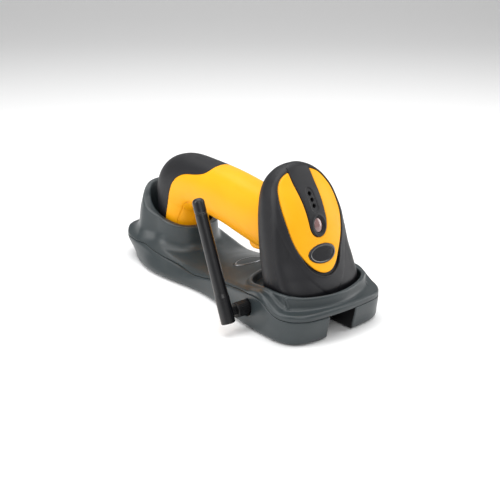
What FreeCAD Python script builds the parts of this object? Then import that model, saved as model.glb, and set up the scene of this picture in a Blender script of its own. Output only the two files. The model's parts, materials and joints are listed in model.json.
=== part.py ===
import FreeCAD, Part
import math
import os
import Sketcher

# Cordless hand-held barcode scanner standing in its desk cradle.
# Frame: +X towards the scanner's head, +Y to the right of it, +Z up, z = 0 on the table under the rubber feet.
# Sizes below are written about a working origin on the cradle's symmetry plane; origin_x and origin_y move every
# piece so that the finished part's box is centred on the row's origin.

V = FreeCAD.Vector
doc = FreeCAD.newDocument("docked_scanner")
sheet = doc.addObject("Spreadsheet::Sheet", "Params")

CELLS = [
    ("origin_x", 9.7763), ("origin_y", 9.2832),
    # cradle
    ("hull_bottom", 0.8), ("hull_wall", 2.4), ("cup_wall", 2.5), ("front_floor", 20.0), ("rear_floor", 22.0),
    ("floor_thick", 2.0), ("deck_wall", 2.4),
    ("notch_back", 84.0), ("notch_mid", -2.5), ("notch_wide", 23.0), ("notch_top", 18.0),
    ("foot_rad", 5.0), ("foot_tall", 2.4), ("foot_sink_rad", 5.1),
    ("foot_rear_x", -92.0), ("foot_rear_y", 23.0), ("foot_front_x", 76.0), ("foot_front_y", 33.0),
    ("boss_rear_x", -62.0), ("boss_front_x", 22.0), ("boss_y", 25.0), ("boss_rad", 3.4), ("boss_split", 11.0),
    ("screw_head_rad", 2.3), ("screw_head_tall", 1.6), ("screw_rad", 1.0), ("screw_long", 10.4), ("screw_seat", 4.0),
    ("board_long", 140.0), ("board_wide", 40.0), ("board_thick", 1.6), ("board_x", 10.0), ("board_z", 4.2),
    ("post_rad", 2.2), ("peg_rad", 0.9), ("peg_hole_rad", 1.0), ("post_x", 62.0), ("post_y", 16.0),
    ("jack_deep", 15.0), ("jack_wide", 15.4), ("jack_tall", 11.6), ("mouth_wide", 11.8), ("mouth_tall", 7.2), ("mouth_deep", 12.0),
    ("block_long", 16.0), ("block_wide", 24.0), ("block_low", 11.0), ("block_high", 24.6), ("block_x", -80.0),
    ("plunger_rad", 1.0), ("plunger_fit", 1.06), ("plunger_tip", 26.0), ("plunger_low", 15.2), ("collar_rad", 1.5),
    ("collar_low", 19.6), ("collar_tall", 0.7), ("chamber_rad", 1.9), ("chamber_low", 12.2), ("chamber_high", 20.4),
    ("pin_step", 5.0), ("deck_badge_major", 13.0), ("deck_badge_minor", 6.5), ("deck_badge_x", 3.5),
    ("shell_seat", 3.1),
    # antenna
    ("pivot_x", 53.0), ("pivot_y", -60.0), ("pivot_z", 14.6), ("lean", 22.4), ("whip_low", -7.0), ("whip_high", 79.7),
    ("whip_base_rad", 4.95), ("whip_tip_rad", 4.2), ("slot_wide", 5.3), ("slot_high", 6.4), ("tongue_thick", 4.7), ("tongue_rad", 3.4),
    ("nut_rad", 5.3), ("nut_in", -41.2), ("nut_out", -52.6), ("thread_rad", 3.1), ("nut_bore", 3.15), ("spigot_rad", 2.5), ("spigot_bore", 2.55),
    ("hinge_pin_rad", 1.0), ("hinge_pin_fit", 1.05), ("jack_nut_rad", 5.0), ("jack_nut_thick", 2.2), ("core_rad", 1.2), ("core_long", 52.0),
    # scanner head
    ("nose_z", 20.5), ("boot_skin", 1.6), ("housing_wall", 1.6), ("window_thick", 1.6), ("window_z", 24.0),
    ("led_semi_y", 3.6), ("led_semi_z", 4.8), ("led_z", 70.9), ("led_back", 73.0),
    ("badge_semi_y", 12.0), ("badge_semi_z", 6.2), ("badge_z", 52.4), ("hole_rad", 1.3),
    ("engine_long", 22.0), ("engine_wide", 30.0), ("engine_tall", 24.0), ("engine_x", 58.5), ("engine_z", 48.0),
    ("lens_rad", 4.5), ("lens_tall", 3.0), ("buzzer_rad", 4.5), ("buzzer_thick", 4.2), ("buzzer_x", 57.5), ("buzzer_z", 86.8),
    # handle
    ("handle_wall", 2.2), ("grip_skin", 1.2), ("butt_z", 26.3), ("carrier_thick", 2.4), ("pad_size", 3.2), ("pad_thick", 0.6),
    ("main_long", 46.0), ("main_wide", 22.0), ("main_thick", 1.6), ("main_x", 9.0), ("main_z", 58.6),
    ("cell_rad", 7.0), ("cell_long", 48.0), ("cell_x", -60.0), ("cell_z", 75.0),
    ("trigger_half", 8.6), ("trigger_pivot_x", 35.0), ("trigger_pivot_z", 53.3), ("trigger_pin_rad", 1.0), ("trigger_pin_fit", 1.05),
    ("trigger_pin_long", 24.0), ("hub_rad", 2.4), ("switch_long", 6.0), ("switch_wide", 6.0), ("switch_tall", 3.4), ("switch_x", 24.0),
    ("handle_screw_x", -26.0), ("rib_low", 58.6), ("rib_high", 63.5),
]
for number, (name, value) in enumerate(CELLS, 1):
    sheet.set("A%d" % number, name)
    sheet.set("B%d" % number, str(value))
    sheet.setAlias("B%d" % number, name)
doc.recompute()


def P(name):
    return float(getattr(sheet, name))


OX, OY = P("origin_x"), P("origin_y")
parts = []


# ---------------------------------------------------------------- helpers
def interp(x, xs, ys):
    """Monotone cubic through (xs, ys), flat beyond both ends."""
    if x <= xs[0]:
        return ys[0]
    if x >= xs[-1]:
        return ys[-1]
    n = len(xs)
    h = [xs[i + 1] - xs[i] for i in range(n - 1)]
    d = [(ys[i + 1] - ys[i]) / h[i] for i in range(n - 1)]
    m = [d[0]] + [0.0] * (n - 2) + [d[-1]]
    for i in range(1, n - 1):
        if d[i - 1] * d[i] > 0:
            w1, w2 = 2 * h[i] + h[i - 1], h[i] + 2 * h[i - 1]
            m[i] = (w1 + w2) / (w1 / d[i - 1] + w2 / d[i])
    i = 0
    while x > xs[i + 1]:
        i += 1
    t = (x - xs[i]) / h[i]
    return ((1 + 2 * t) * (1 - t) ** 2 * ys[i] + t * (1 - t) ** 2 * h[i] * m[i]
            + t * t * (3 - 2 * t) * ys[i + 1] + t * t * (t - 1) * h[i] * m[i + 1])


def closed_wire(points):
    curve = Part.BSplineCurve()
    curve.interpolate(Points=[V(*p) for p in points], PeriodicFlag=True)
    return Part.Wire([curve.toShape()])


def outline(half, count=56):
    """Closed plan outline, count points from the front centre round the +Y side, from one half given rear to front."""
    pts = [(x, y) for x, y in reversed(half)] + [(x, -y) for x, y in half[1:-1]]
    curve = Part.BSplineCurve()
    curve.interpolate(Points=[V(x, y, 0) for x, y in pts], PeriodicFlag=True)
    return [(p.x, p.y) for p in curve.toShape().discretize(Number=count + 1)[:-1]]


def inset(pts, dist):
    """Moves a closed outline inwards by dist (outwards when negative)."""
    out = []
    n = len(pts)
    for i in range(n):
        (x0, y0), (x1, y1) = pts[i - 1], pts[(i + 1) % n]
        tx, ty = x1 - x0, y1 - y0
        length = math.hypot(tx, ty)
        out.append((pts[i][0] - ty / length * dist, pts[i][1] + tx / length * dist))
    return out


def level(pts, z):
    return [(x, y, z) for x, y in pts]


def loft(sections, ruled=False):
    return Part.makeLoft([closed_wire(s) for s in sections], True, ruled)


def prism_xz(points, y0, y1, spline=None):
    """Solid between y0 and y1 over an XZ polygon; the first `spline` points are joined by one smooth curve."""
    edges = []
    pts = [V(x, y0, z) for x, z in points]
    if spline:
        curve = Part.BSplineCurve()
        curve.interpolate(pts[:spline])
        edges.append(curve.toShape())
        pts = pts[spline - 1:] + [pts[0]]
    else:
        pts = pts + [pts[0]]
    for a, b in zip(pts[:-1], pts[1:]):
        edges.append(Part.makeLine(a, b))
    return Part.Face(Part.Wire(edges)).extrude(V(0, y1 - y0, 0))


def prism_yz(points, x0, x1):
    curve = Part.BSplineCurve()
    curve.interpolate(Points=[V(x0, y, z) for y, z in points], PeriodicFlag=True)
    return Part.Face(Part.Wire([curve.toShape()])).extrude(V(x1 - x0, 0, 0))


def cyl(rad, tall, base, axis=(0, 0, 1)):
    return Part.makeCylinder(rad, tall, V(*base), V(*axis))


def box(low, high):
    return Part.makeBox(high[0] - low[0], high[1] - low[1], high[2] - low[2], V(*low))


def feature(label, shape):
    """A piece whose shape Part's own functions made; its placement comes after its shape."""
    if shape.ShapeType == "Compound" and len(shape.Solids) == 1:
        shape = shape.Solids[0]
    obj = doc.addObject("Part::Feature", label)
    obj.Label = label
    obj.Shape = shape
    obj.Placement = FreeCAD.Placement(V(OX, OY, 0), FreeCAD.Rotation()).multiply(shape.Placement)
    parts.append(obj)
    return obj


def place(obj, x, y, z, axis=None, angle=None):
    """Binds a parametric piece's position to the sheet."""
    if axis is not None:
        obj.Placement = FreeCAD.Placement(V(0, 0, 0), FreeCAD.Rotation(V(*axis), angle))
    obj.setExpression("Placement.Base.x", "Params.origin_x + (%s)" % x)
    obj.setExpression("Placement.Base.y", "Params.origin_y + (%s)" % y)
    obj.setExpression("Placement.Base.z", "%s" % z)
    return obj


def body(label):
    obj = doc.addObject("PartDesign::Body", label)
    obj.Label = label
    parts.append(obj)
    return obj


def plane(owner, role):
    return [o for o in owner.Origin.OriginFeatures if o.Role == role][0]


def sketch(owner, name, role="XY_Plane"):
    obj = owner.newObject("Sketcher::SketchObject", name)
    obj.AttachmentSupport = [(plane(owner, role), "")]
    obj.MapMode = "FlatFace"
    return obj


def rectangle(sk, wide, tall, w, t):
    """Rectangle centred on the sketch's origin: wide and tall are expressions, w and t starting sizes."""
    corners = [(-w / 2, -t / 2), (w / 2, -t / 2), (w / 2, t / 2), (-w / 2, t / 2)]
    for k in range(4):
        a, b = corners[k], corners[(k + 1) % 4]
        sk.addGeometry(Part.LineSegment(V(a[0], a[1], 0), V(b[0], b[1], 0)), False)
    for k in range(4):
        sk.addConstraint(Sketcher.Constraint("Coincident", k, 2, (k + 1) % 4, 1))
    for k in (0, 2):
        sk.addConstraint(Sketcher.Constraint("Horizontal", k))
    for k in (1, 3):
        sk.addConstraint(Sketcher.Constraint("Vertical", k))
    sk.addConstraint(Sketcher.Constraint("Symmetric", 0, 1, 2, 1, -1, 1))
    c = sk.addConstraint(Sketcher.Constraint("DistanceX", 0, 1, 0, 2, w))
    sk.renameConstraint(c, "wide")
    sk.setExpression("Constraints.wide", wide)
    c = sk.addConstraint(Sketcher.Constraint("DistanceY", 1, 1, 1, 2, t))
    sk.renameConstraint(c, "tall")
    sk.setExpression("Constraints.tall", tall)


def circle(sk, rad, r, x=0.0, y=0.0, tag="radius"):
    g = sk.addGeometry(Part.Circle(V(x, y, 0), V(0, 0, 1), r), False)
    if x or y:
        sk.addConstraint(Sketcher.Constraint("DistanceX", -1, 1, g, 3, x))
        sk.addConstraint(Sketcher.Constraint("DistanceY", -1, 1, g, 3, y))
    else:
        sk.addConstraint(Sketcher.Constraint("Coincident", g, 3, -1, 1))
    c = sk.addConstraint(Sketcher.Constraint("Radius", g, r))
    sk.renameConstraint(c, tag)
    sk.setExpression("Constraints." + tag, rad)


def pad(owner, sk, length, name, reverse=False):
    obj = owner.newObject("PartDesign::Pad", name)
    obj.Profile = sk
    obj.setExpression("Length", length)
    obj.Reversed = reverse
    return obj


def pocket(owner, sk, length, name, reverse=False):
    obj = owner.newObject("PartDesign::Pocket", name)
    obj.Profile = sk
    obj.setExpression("Length", length)
    obj.Reversed = reverse
    return obj


# ---------------------------------------------------------------- cradle: outlines and profiles
OUT = outline([(-127, 0), (-125.8, 12), (-122, 21.5), (-114, 29), (-102, 33), (-85, 34.5), (-60, 33.8), (-38, 33.4), (-20, 33.4), (0, 34),
               (22, 35.6), (42, 38.8), (62, 43), (78, 46), (88, 45.6), (95, 42), (101, 34), (105, 20), (107, 0)])
BOT = outline([(-112, 0), (-110.5, 13), (-105, 24), (-94, 32), (-74, 37), (-50, 36.6), (-25, 34.8), (0, 34.5), (20, 36), (42, 40), (60, 44),
               (74, 45.6), (85, 44), (93, 38), (97.5, 28), (99.5, 15), (100.3, 7), (100.3, 0)])
CUP = outline([(28, 0), (30.5, 12), (37, 23.5), (47, 31), (60, 34.6), (76, 35.4), (87, 32.5), (93.5, 21.5), (96.6, 9), (97.3, 0)], 40)
REAR = outline([(-110, 0), (-107, 11.5), (-98, 19.8), (-84, 22.8), (-68, 20.5), (-57, 12), (-54, 0)], 40)
PART_X = [-135, -118, -104, -88, -74, -60, -47, -35, -24, -12, 0, 23, 37, 50, 60, 68, 74, 80, 86, 92, 107, 120]
PART_Z = [16.8, 17.2, 18.3, 18.6, 16.3, 14.2, 12.7, 11.7, 11.6, 12.9, 15.2, 18.6, 21, 23.6, 25.4, 26, 24.5, 21.5, 19, 18, 18, 18]
DECK_X = [-135, -115, -98, -82, -64, -50, -37, -22, -6, 18, 35, 50, 60, 67, 73, 78, 83, 88, 95, 120]
DECK_Z = [24.4, 23.8, 22.6, 21.0, 17.9, 14.9, 13.6, 14.6, 17.0, 20.2, 23.2, 26.8, 29.4, 30.7, 30, 27.5, 24.5, 22.8, 22.3, 22.3]
# height of the deck's crown over its edge
CROWN_X = [-135, -100, -60, -40, -20, 0, 15, 30, 42, 120]
CROWN_Z = [0.01, 0.4, 2.2, 3.8, 4.8, 4.8, 3.6, 1.2, 0.01, 0.01]
# half width at which the deck turns down into the sloping band, and that band's slope
EDGE_X = [-135, -114, -102, -85, -60, -38, -20, 0, 22, 42, 64, 120]
EDGE_Y = [25, 26.5, 29, 30.6, 30, 29.6, 29.8, 30.6, 32.2, 35, 40, 42]
SLOPE_X = [-135, -118, -100, -80, 44, 62, 120]
SLOPE_K = [0.3, 0.5, 0.65, 0.68, 0.68, 0.02, 0.01]
RIM_X = [10, 28, 38, 47, 60, 70, 80, 88, 94, 100, 115]
RIM_Z = [23, 25.2, 26.6, 28, 30.6, 31.8, 32, 31.6, 30, 29, 28.8]
REARRIM_X = [-130, -112, -105, -99, -93, -86, -78, -70, -60, -40]
REARRIM_Z = [61.5, 61, 57, 51, 46, 41.7, 38.7, 36.6, 35.4, 34.8]


def mix(a, b, t):
    return [(p[0] * (1 - t) + q[0] * t, p[1] * (1 - t) + q[1] * t) for p, q in zip(a, b)]


def hull(extra):
    low = P("hull_bottom") + (P("hull_wall") if extra else 0)
    rows = [(low, BOT, 2.6 - (1.4 if extra else 0)), (low + 2, BOT, 0.7 if not extra else 0.3), (7, BOT, 0), (12.5, mix(BOT, OUT, 0.5), 0),
            (17, OUT, 0), (40, OUT, 0)]
    return loft([level(inset(o, d + extra), z) for z, o, d in rows], ruled=True)


def above(xs, zs, drop=0.0, top=90):
    """Everything over a profile that runs along X."""
    pts = [(x, z - drop) for x, z in zip(xs, zs)]
    fine = [(a, interp(a, xs, zs) - drop) for a in [xs[0] + (xs[-1] - xs[0]) * k / 60.0 for k in range(61)]]
    return prism_xz(fine + [(pts[-1][0], top), (pts[0][0], top)], -80, 80, spline=61)


outer = hull(0)
inner = hull(P("hull_wall"))
over_parting = above(PART_X, PART_Z)


def over_top(lift):
    """Everything over the crowned deck raised by lift: sections across the cradle, joined along X."""
    rows = []
    for x in [-135, -125, -115, -105, -95, -85, -75, -67, -60, -54, -48, -42, -36, -30, -24, -18, -12, -6, 0, 7, 14, 21, 28, 35, 42, 49, 56, 60, 64]:
        edge, z = interp(x, EDGE_X, EDGE_Y), interp(x, DECK_X, DECK_Z) + lift
        low = z - interp(x, SLOPE_X, SLOPE_K) * (80 - edge)
        arc = Part.Arc(V(x, -edge, z), V(x, 0, z + interp(x, CROWN_X, CROWN_Z)), V(x, edge, z)).toShape()
        rows.append(Part.Wire([arc, Part.makeLine(V(x, edge, z), V(x, 80, low)), Part.makeLine(V(x, 80, low), V(x, 80, 90)),
                               Part.makeLine(V(x, 80, 90), V(x, -80, 90)), Part.makeLine(V(x, -80, 90), V(x, -80, low)),
                               Part.makeLine(V(x, -80, low), V(x, -edge, z))]))
    crowned = Part.makeLoft(rows, True, True)
    front = above(DECK_X, DECK_Z, -lift).common(box((64, -80, -20), (125, 80, 95)))
    return [crowned, front]


def under_top(shape, lift=0.0):
    for tool in over_top(lift):
        shape = shape.cut(tool)
    return shape


outer = under_top(outer)
cavity = under_top(inner, -2.9)

front_out = loft([level(inset(CUP, -P("cup_wall")), P("front_floor") - P("floor_thick")), level(inset(CUP, -P("cup_wall")), 38)], True)
front_out = front_out.cut(above(RIM_X, RIM_Z))
front_in = loft([level(inset(CUP, 0.5), P("front_floor")), level(CUP, 27), level(CUP, 40)], True)
rear_out = loft([level(inset(REAR, -o), z) for z, o in ((P("rear_floor") - P("floor_thick"), 5.6), (25, 4.8), (29, 3.6), (35, 2.9), (66, 2.6))], True)
rear_out = rear_out.cut(above(REARRIM_X, REARRIM_Z))
rear_in = loft([level(inset(REAR, 3.5), P("rear_floor")), level(inset(REAR, 2.0), 30), level(REAR, 68)], True)

# bosses that the four case screws pass through
boss_at = [(P(n), s * P("boss_y")) for n in ("boss_rear_x", "boss_front_x") for s in (-1, 1)]
feet_at = [(P("foot_rear_x"), P("foot_rear_y")), (P("foot_rear_x"), -P("foot_rear_y")), (P("foot_front_x"), P("foot_front_y")), (P("foot_front_x"), -P("foot_front_y"))]
floor_z = P("hull_bottom") + P("hull_wall")

cover = outer.common(over_parting).cut(cavity)
cover = cover.fuse([front_out, rear_out.cut(above(REARRIM_X, REARRIM_Z))])
for x, y in boss_at:
    top = interp(x, DECK_X, DECK_Z) - 1.2
    cover = cover.fuse(cyl(3.0, top - P("boss_split") - 0.1, (x, y, P("boss_split") + 0.1)))
    cover = cover.cut(cyl(P("screw_rad") + 0.06, 4.2, (x, y, P("boss_split"))))
cover = cover.cut(front_in).cut(rear_in)
block_hole = box((P("block_x") - P("block_long") / 2 - 0.05, -P("block_wide") / 2 - 0.05, 15), (P("block_x") + P("block_long") / 2 + 0.05, P("block_wide") / 2 + 0.05, 30))
cover = cover.cut(block_hole)

# oval blank plate let into the deck, following its crown
plate_wall = Part.Face(Part.Wire([Part.Ellipse(V(0, 0, 0), P("deck_badge_major"), P("deck_badge_minor")).toShape()])).extrude(V(0, 0, 20))
plate_wall.Placement = FreeCAD.Placement(V(P("deck_badge_x"), 0, 12), FreeCAD.Rotation(V(0, 0, 1), 90))
plate = plate_wall.common(over_top(-0.7)[0]).cut(over_top(0.35)[0])
cover = cover.cut(plate_wall.common(over_top(-0.7)[0]))

base = outer.cut(over_parting)
base = base.cut(cavity)
y0, y1 = P("notch_mid") - P("notch_wide") / 2, P("notch_mid") + P("notch_wide") / 2
walls = box((P("notch_back") - 2, y0 - 2, P("hull_bottom")), (110, y1 + 2, P("notch_top"))).common(outer).cut(over_parting)
base = base.fuse(walls)
for x, y in boss_at:
    base = base.fuse(cyl(P("boss_rad"), P("boss_split") - floor_z, (x, y, floor_z)))
for sx in (-1, 1):
    for sy in (-1, 1):
        x, y = P("board_x") + sx * P("post_x"), sy * P("post_y")
        base = base.fuse(cyl(P("post_rad"), P("board_z") - floor_z, (x, y, floor_z)))
        base = base.fuse(cyl(P("peg_rad"), P("board_thick") + 0.4, (x, y, P("board_z"))))
base = base.cut(box((P("notch_back"), y0, -1), (112, y1, P("notch_top") + 4)))
jack_x0 = P("notch_back") - P("jack_deep")
jack_z0 = P("board_z") + P("board_thick")
base = base.cut(box((P("notch_back") - 4, P("notch_mid") - P("jack_wide") / 2 - 0.05, jack_z0 - 0.05),
                    (P("notch_back") + 1, P("notch_mid") + P("jack_wide") / 2 + 0.05, jack_z0 + P("jack_tall") + 0.05)))
for x, y in boss_at:
    base = base.cut(cyl(P("screw_rad") + 0.35, 16, (x, y, 0)))
    base = base.cut(cyl(P("screw_head_rad") + 0.3, P("screw_seat") + P("screw_head_tall") - P("screw_head_tall"), (x, y, 0)))
for x, y in feet_at:
    base = base.cut(cyl(P("foot_sink_rad"), P("foot_tall") - P("hull_bottom"), (x, y, P("hull_bottom"))))
# flat, drilled seat for the antenna connector in the side wall
base = base.cut(cyl(P("thread_rad") + 0.05, 12, (P("pivot_x"), -48, P("pivot_z")), (0, 1, 0)))
base = base.cut(cyl(P("nut_rad") + 0.8, 8, (P("pivot_x"), P("nut_in") - 8, P("pivot_z")), (0, 1, 0)))

# inner seat for the connector's lock nut
nut_seat = cyl(P("jack_nut_rad") + 0.2, P("jack_nut_thick") + 0.2, (P("pivot_x"), -38.4, P("pivot_z")), (0, 1, 0))
base = base.cut(nut_seat)
cover = cover.cut(nut_seat)
# nothing of the base reaches up inside the front cup
base = base.cut(box((30, -26, 20.2), (62, 26, 27)))

feature("cradle_cover", cover)
feature("cradle_base", base)

# blank oval plate let into the deck
feature("deck_badge", plate)

# circuit board of the cradle
b = body("cradle_board")
sk = sketch(b, "board_outline")
rectangle(sk, "Params.board_long", "Params.board_wide", P("board_long"), P("board_wide"))
pad(b, sk, "Params.board_thick", "board_plate")
doc.recompute()
sk = sketch(b, "board_holes")
for k, (sx, sy) in enumerate([(-1, -1), (-1, 1), (1, -1), (1, 1)]):
    circle(sk, "Params.peg_hole_rad", P("peg_hole_rad"), sx * P("post_x"), sy * P("post_y"), "hole%s" % "abcd"[k])
hole = pocket(b, sk, "Params.board_thick + 2", "board_drilled", True)
place(b, "Params.board_x", "0", "Params.board_z")

# modular socket for the power and data lead
jack = doc.addObject("Part::Box", "jack_block")
jack.setExpression("Length", "Params.jack_deep")
jack.setExpression("Width", "Params.jack_wide")
jack.setExpression("Height", "Params.jack_tall")
mouth = doc.addObject("Part::Box", "jack_mouth")
mouth.setExpression("Length", "Params.mouth_deep + 1")
mouth.setExpression("Width", "Params.mouth_wide")
mouth.setExpression("Height", "Params.mouth_tall")
mouth.setExpression("Placement.Base.x", "Params.jack_deep - Params.mouth_deep")
mouth.setExpression("Placement.Base.y", "(Params.jack_wide - Params.mouth_wide) / 2")
mouth.Placement.Base.z = 2.6
latch = doc.addObject("Part::Box", "jack_latch")
latch.setExpression("Length", "Params.mouth_deep + 1")
latch.Width = 6
latch.Height = 1.9
latch.setExpression("Placement.Base.x", "Params.jack_deep - Params.mouth_deep")
latch.setExpression("Placement.Base.y", "(Params.jack_wide - 6) / 2")
latch.Placement.Base.z = 0.8
hollow = doc.addObject("Part::Fuse", "jack_hollow")
hollow.Base, hollow.Tool = mouth, latch
socket = doc.addObject("Part::Cut", "data_socket")
socket.Base, socket.Tool = jack, hollow
socket.Label = "data_socket"
place(socket, "Params.notch_back - Params.jack_deep", "Params.notch_mid - Params.jack_wide / 2", "Params.board_z + Params.board_thick")
parts.append(socket)

# spring-loaded charging pins in a block let into the rear cup's floor
rows = [(-1.5) * P("pin_step"), -0.5 * P("pin_step"), 0.5 * P("pin_step"), 1.5 * P("pin_step")]
b = body("charge_pin_block")
sk = sketch(b, "block_outline")
rectangle(sk, "Params.block_long", "Params.block_wide", P("block_long"), P("block_wide"))
pad(b, sk, "Params.block_high - Params.block_low", "block_solid")
doc.recompute()
sk = sketch(b, "pin_bores")
for k, y in enumerate(rows):
    circle(sk, "Params.plunger_fit", P("plunger_fit"), 0.0001, y, "bore%s" % "abcd"[k])
pocket(b, sk, "Params.block_high - Params.block_low + 1", "pin_bored", True)
doc.recompute()
sk = sketch(b, "chambers")
sk.AttachmentOffset = FreeCAD.Placement(V(0, 0, 1.2), FreeCAD.Rotation())
for k, y in enumerate(rows):
    circle(sk, "Params.chamber_rad", P("chamber_rad"), 0.0001, y, "room%s" % "abcd"[k])
pocket(b, sk, "Params.chamber_high - Params.chamber_low", "chambered", True)
place(b, "Params.block_x", "0", "Params.block_low")

plungers, coils = [], []
for k, y in enumerate(rows):
    stem = doc.addObject("Part::Cylinder", "plunger%d" % k)
    stem.setExpression("Radius", "Params.plunger_rad")
    stem.setExpression("Height", "Params.plunger_tip - Params.plunger_low - Params.plunger_rad * 0.5")
    stem.Placement.Base.y = y
    tip = doc.addObject("Part::Cone", "plunger_tip%d" % k)
    tip.setExpression("Radius1", "Params.plunger_rad")
    tip.setExpression("Radius2", "Params.plunger_rad * 0.55")
    tip.setExpression("Height", "Params.plunger_rad * 0.5")
    tip.Placement.Base.y = y
    tip.setExpression("Placement.Base.z", "Params.plunger_tip - Params.plunger_low - Params.plunger_rad * 0.5")
    ring = doc.addObject("Part::Cylinder", "plunger_collar%d" % k)
    ring.setExpression("Radius", "Params.collar_rad")
    ring.setExpression("Height", "Params.collar_tall")
    ring.Placement.Base.y = y
    ring.setExpression("Placement.Base.z", "Params.collar_low - Params.plunger_low")
    plungers += [stem, tip, ring]
    helix = Part.makeHelix(1.35, 6.9, 1.5)
    ringw = Part.Wire([Part.Circle(V(1.5, 0, 0), V(0, 1, 0), 0.22).toShape()])
    coil = Part.Wire(helix).makePipeShell([ringw], True, True)
    coil.translate(V(P("block_x"), y, P("chamber_low") + 0.25))
    coils.append(coil)
group = doc.addObject("Part::MultiFuse", "charging_pins")
group.Shapes = plungers
group.Label = "charging_pins"
place(group, "Params.block_x", "0", "Params.plunger_low")
parts.append(group)
feature("pin_springs", Part.makeCompound(coils))

# rubber feet and case screws, each kind one group
feet = []
for k, (sx, sy) in enumerate([("rear", 1), ("rear", -1), ("front", 1), ("front", -1)]):
    foot = doc.addObject("Part::Cylinder", "foot%d" % k)
    foot.setExpression("Radius", "Params.foot_rad")
    foot.setExpression("Height", "Params.foot_tall")
    foot.setExpression("Placement.Base.x", "Params.foot_%s_x" % sx)
    foot.setExpression("Placement.Base.y", "Params.foot_%s_y * %d" % (sx, sy))
    feet.append(foot)
group = doc.addObject("Part::MultiFuse", "rubber_feet")
group.Shapes = feet
group.Label = "rubber_feet"
place(group, "0", "0", "0")
parts.append(group)

screws = []
for k, (sx, sy) in enumerate([("rear", 1), ("rear", -1), ("front", 1), ("front", -1)]):
    head = doc.addObject("Part::Cylinder", "screw_head%d" % k)
    head.setExpression("Radius", "Params.screw_head_rad")
    head.setExpression("Height", "Params.screw_head_tall")
    head.setExpression("Placement.Base.x", "Params.boss_%s_x" % sx)
    head.setExpression("Placement.Base.y", "Params.boss_y * %d" % sy)
    head.setExpression("Placement.Base.z", "Params.screw_seat - Params.screw_head_tall")
    shank = doc.addObject("Part::Cylinder", "screw_shank%d" % k)
    shank.setExpression("Radius", "Params.screw_rad")
    shank.setExpression("Height", "Params.screw_long")
    shank.setExpression("Placement.Base.x", "Params.boss_%s_x" % sx)
    shank.setExpression("Placement.Base.y", "Params.boss_y * %d" % sy)
    shank.setExpression("Placement.Base.z", "Params.screw_seat")
    screws += [head, shank]
group = doc.addObject("Part::MultiFuse", "base_screws")
group.Shapes = screws
group.Label = "base_screws"
place(group, "0", "0", "0")
parts.append(group)

# ---------------------------------------------------------------- antenna
lean = math.radians(P("lean"))
WD = V(-math.sin(lean), 0, math.cos(lean))       # along the whip
HD = V(math.cos(lean), 0, math.sin(lean))        # hinge axis
PV = V(P("pivot_x"), P("pivot_y"), P("pivot_z"))
# local frame of the whip: local Z along the whip, local X along the hinge axis, local Y is the row's Y
whip_frame = FreeCAD.Placement(PV, FreeCAD.Rotation(V(0, 1, 0), -P("lean")))


def seated(shape):
    shape.Placement = whip_frame.multiply(shape.Placement)
    return shape


low, high, r0, r1 = P("whip_low"), P("whip_high"), P("whip_base_rad"), P("whip_tip_rad")
prof = [(0, low), (r0 - 0.5, low), (r0, low + 0.5), (r0, low + 18), (r0 - 0.35, low + 20.5), (r1 + 0.08, high - 11.4), (r1 - 0.18, high - 11.1), (r1 - 0.18, high - 10.6),
        (r1 + 0.04, high - 10.3), (r1 - 0.18, high - 10.0), (r1 - 0.18, high - 9.5), (r1, high - 9.2), (r1, high - 3.2)]
pts = [V(r, 0, z) for r, z in prof]
edges = [Part.makeLine(a, c) for a, c in zip(pts[:-1], pts[1:])]
edges.append(Part.Arc(V(r1, 0, high - 3.2), V(r1 * 0.78, 0, high - 0.95), V(r1 * 0.3, 0, high)).toShape())
edges.append(Part.makeLine(V(r1 * 0.3, 0, high), V(0, 0, high)))
edges.append(Part.makeLine(V(0, 0, high), V(0, 0, low)))
whip = Part.Face(Part.Wire(edges)).revolve(V(0, 0, 0), V(0, 0, 1), 360)
if whip.Volume < 0:
    whip.reverse()
# slot for the elbow's tongue, open at the side and the bottom, and the corner that turns past the collar
whip = whip.cut(box((-P("slot_wide") / 2, -P("tongue_rad") - 0.2, low - 1), (P("slot_wide") / 2, 12, P("slot_high"))))
corner = box((-8, 0, low - 1), (8, 9, 0)).cut(cyl(7.0, 20, (-10, 0, 0), (1, 0, 0)))
whip = whip.cut(corner)
whip = whip.cut(cyl(P("hinge_pin_fit"), 8.8, (-4.4, 0, 0), (1, 0, 0)))
whip = whip.cut(cyl(P("core_rad"), P("core_long"), (0, 0, P("slot_high") + 2), (0, 0, 1)))
feature("antenna_whip", seated(whip))
feature("antenna_element", seated(cyl(P("core_rad"), P("core_long"), (0, 0, P("slot_high") + 2), (0, 0, 1))))
pin_len = 8.6
feature("antenna_hinge_pin", seated(cyl(P("hinge_pin_rad"), pin_len, (-pin_len / 2, 0, 0), (1, 0, 0))))

# elbow: spigot that turns in the collar, and the tongue in the whip's slot (local frame as the whip's)
tongue = cyl(P("tongue_rad"), P("tongue_thick"), (-P("tongue_thick") / 2, 0, 0), (1, 0, 0))
reach = P("nut_out") - P("pivot_y") - 0.05
neck = box((-P("tongue_thick") / 2, 0, -2.4), (P("tongue_thick") / 2, reach, 2.4))
elbow = tongue.fuse(neck)
elbow = elbow.cut(cyl(P("hinge_pin_fit"), 20, (-10, 0, 0), (1, 0, 0)))
elbow = elbow.common(cyl(4.9, reach, (0, 0, 0), (0, 1, 0)).fuse(cyl(9, 6, (0, -6, 0), (0, 1, 0))))
spigot = cyl(P("spigot_rad"), 2.6, (0, reach - 0.5, 0), (0, 1, 0)).fuse(cyl(P("spigot_rad") + 0.35, 0.8, (0, reach + 2.0, 0), (0, 1, 0)))
elbow = elbow.fuse(spigot)
feature("antenna_elbow", seated(elbow))

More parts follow.
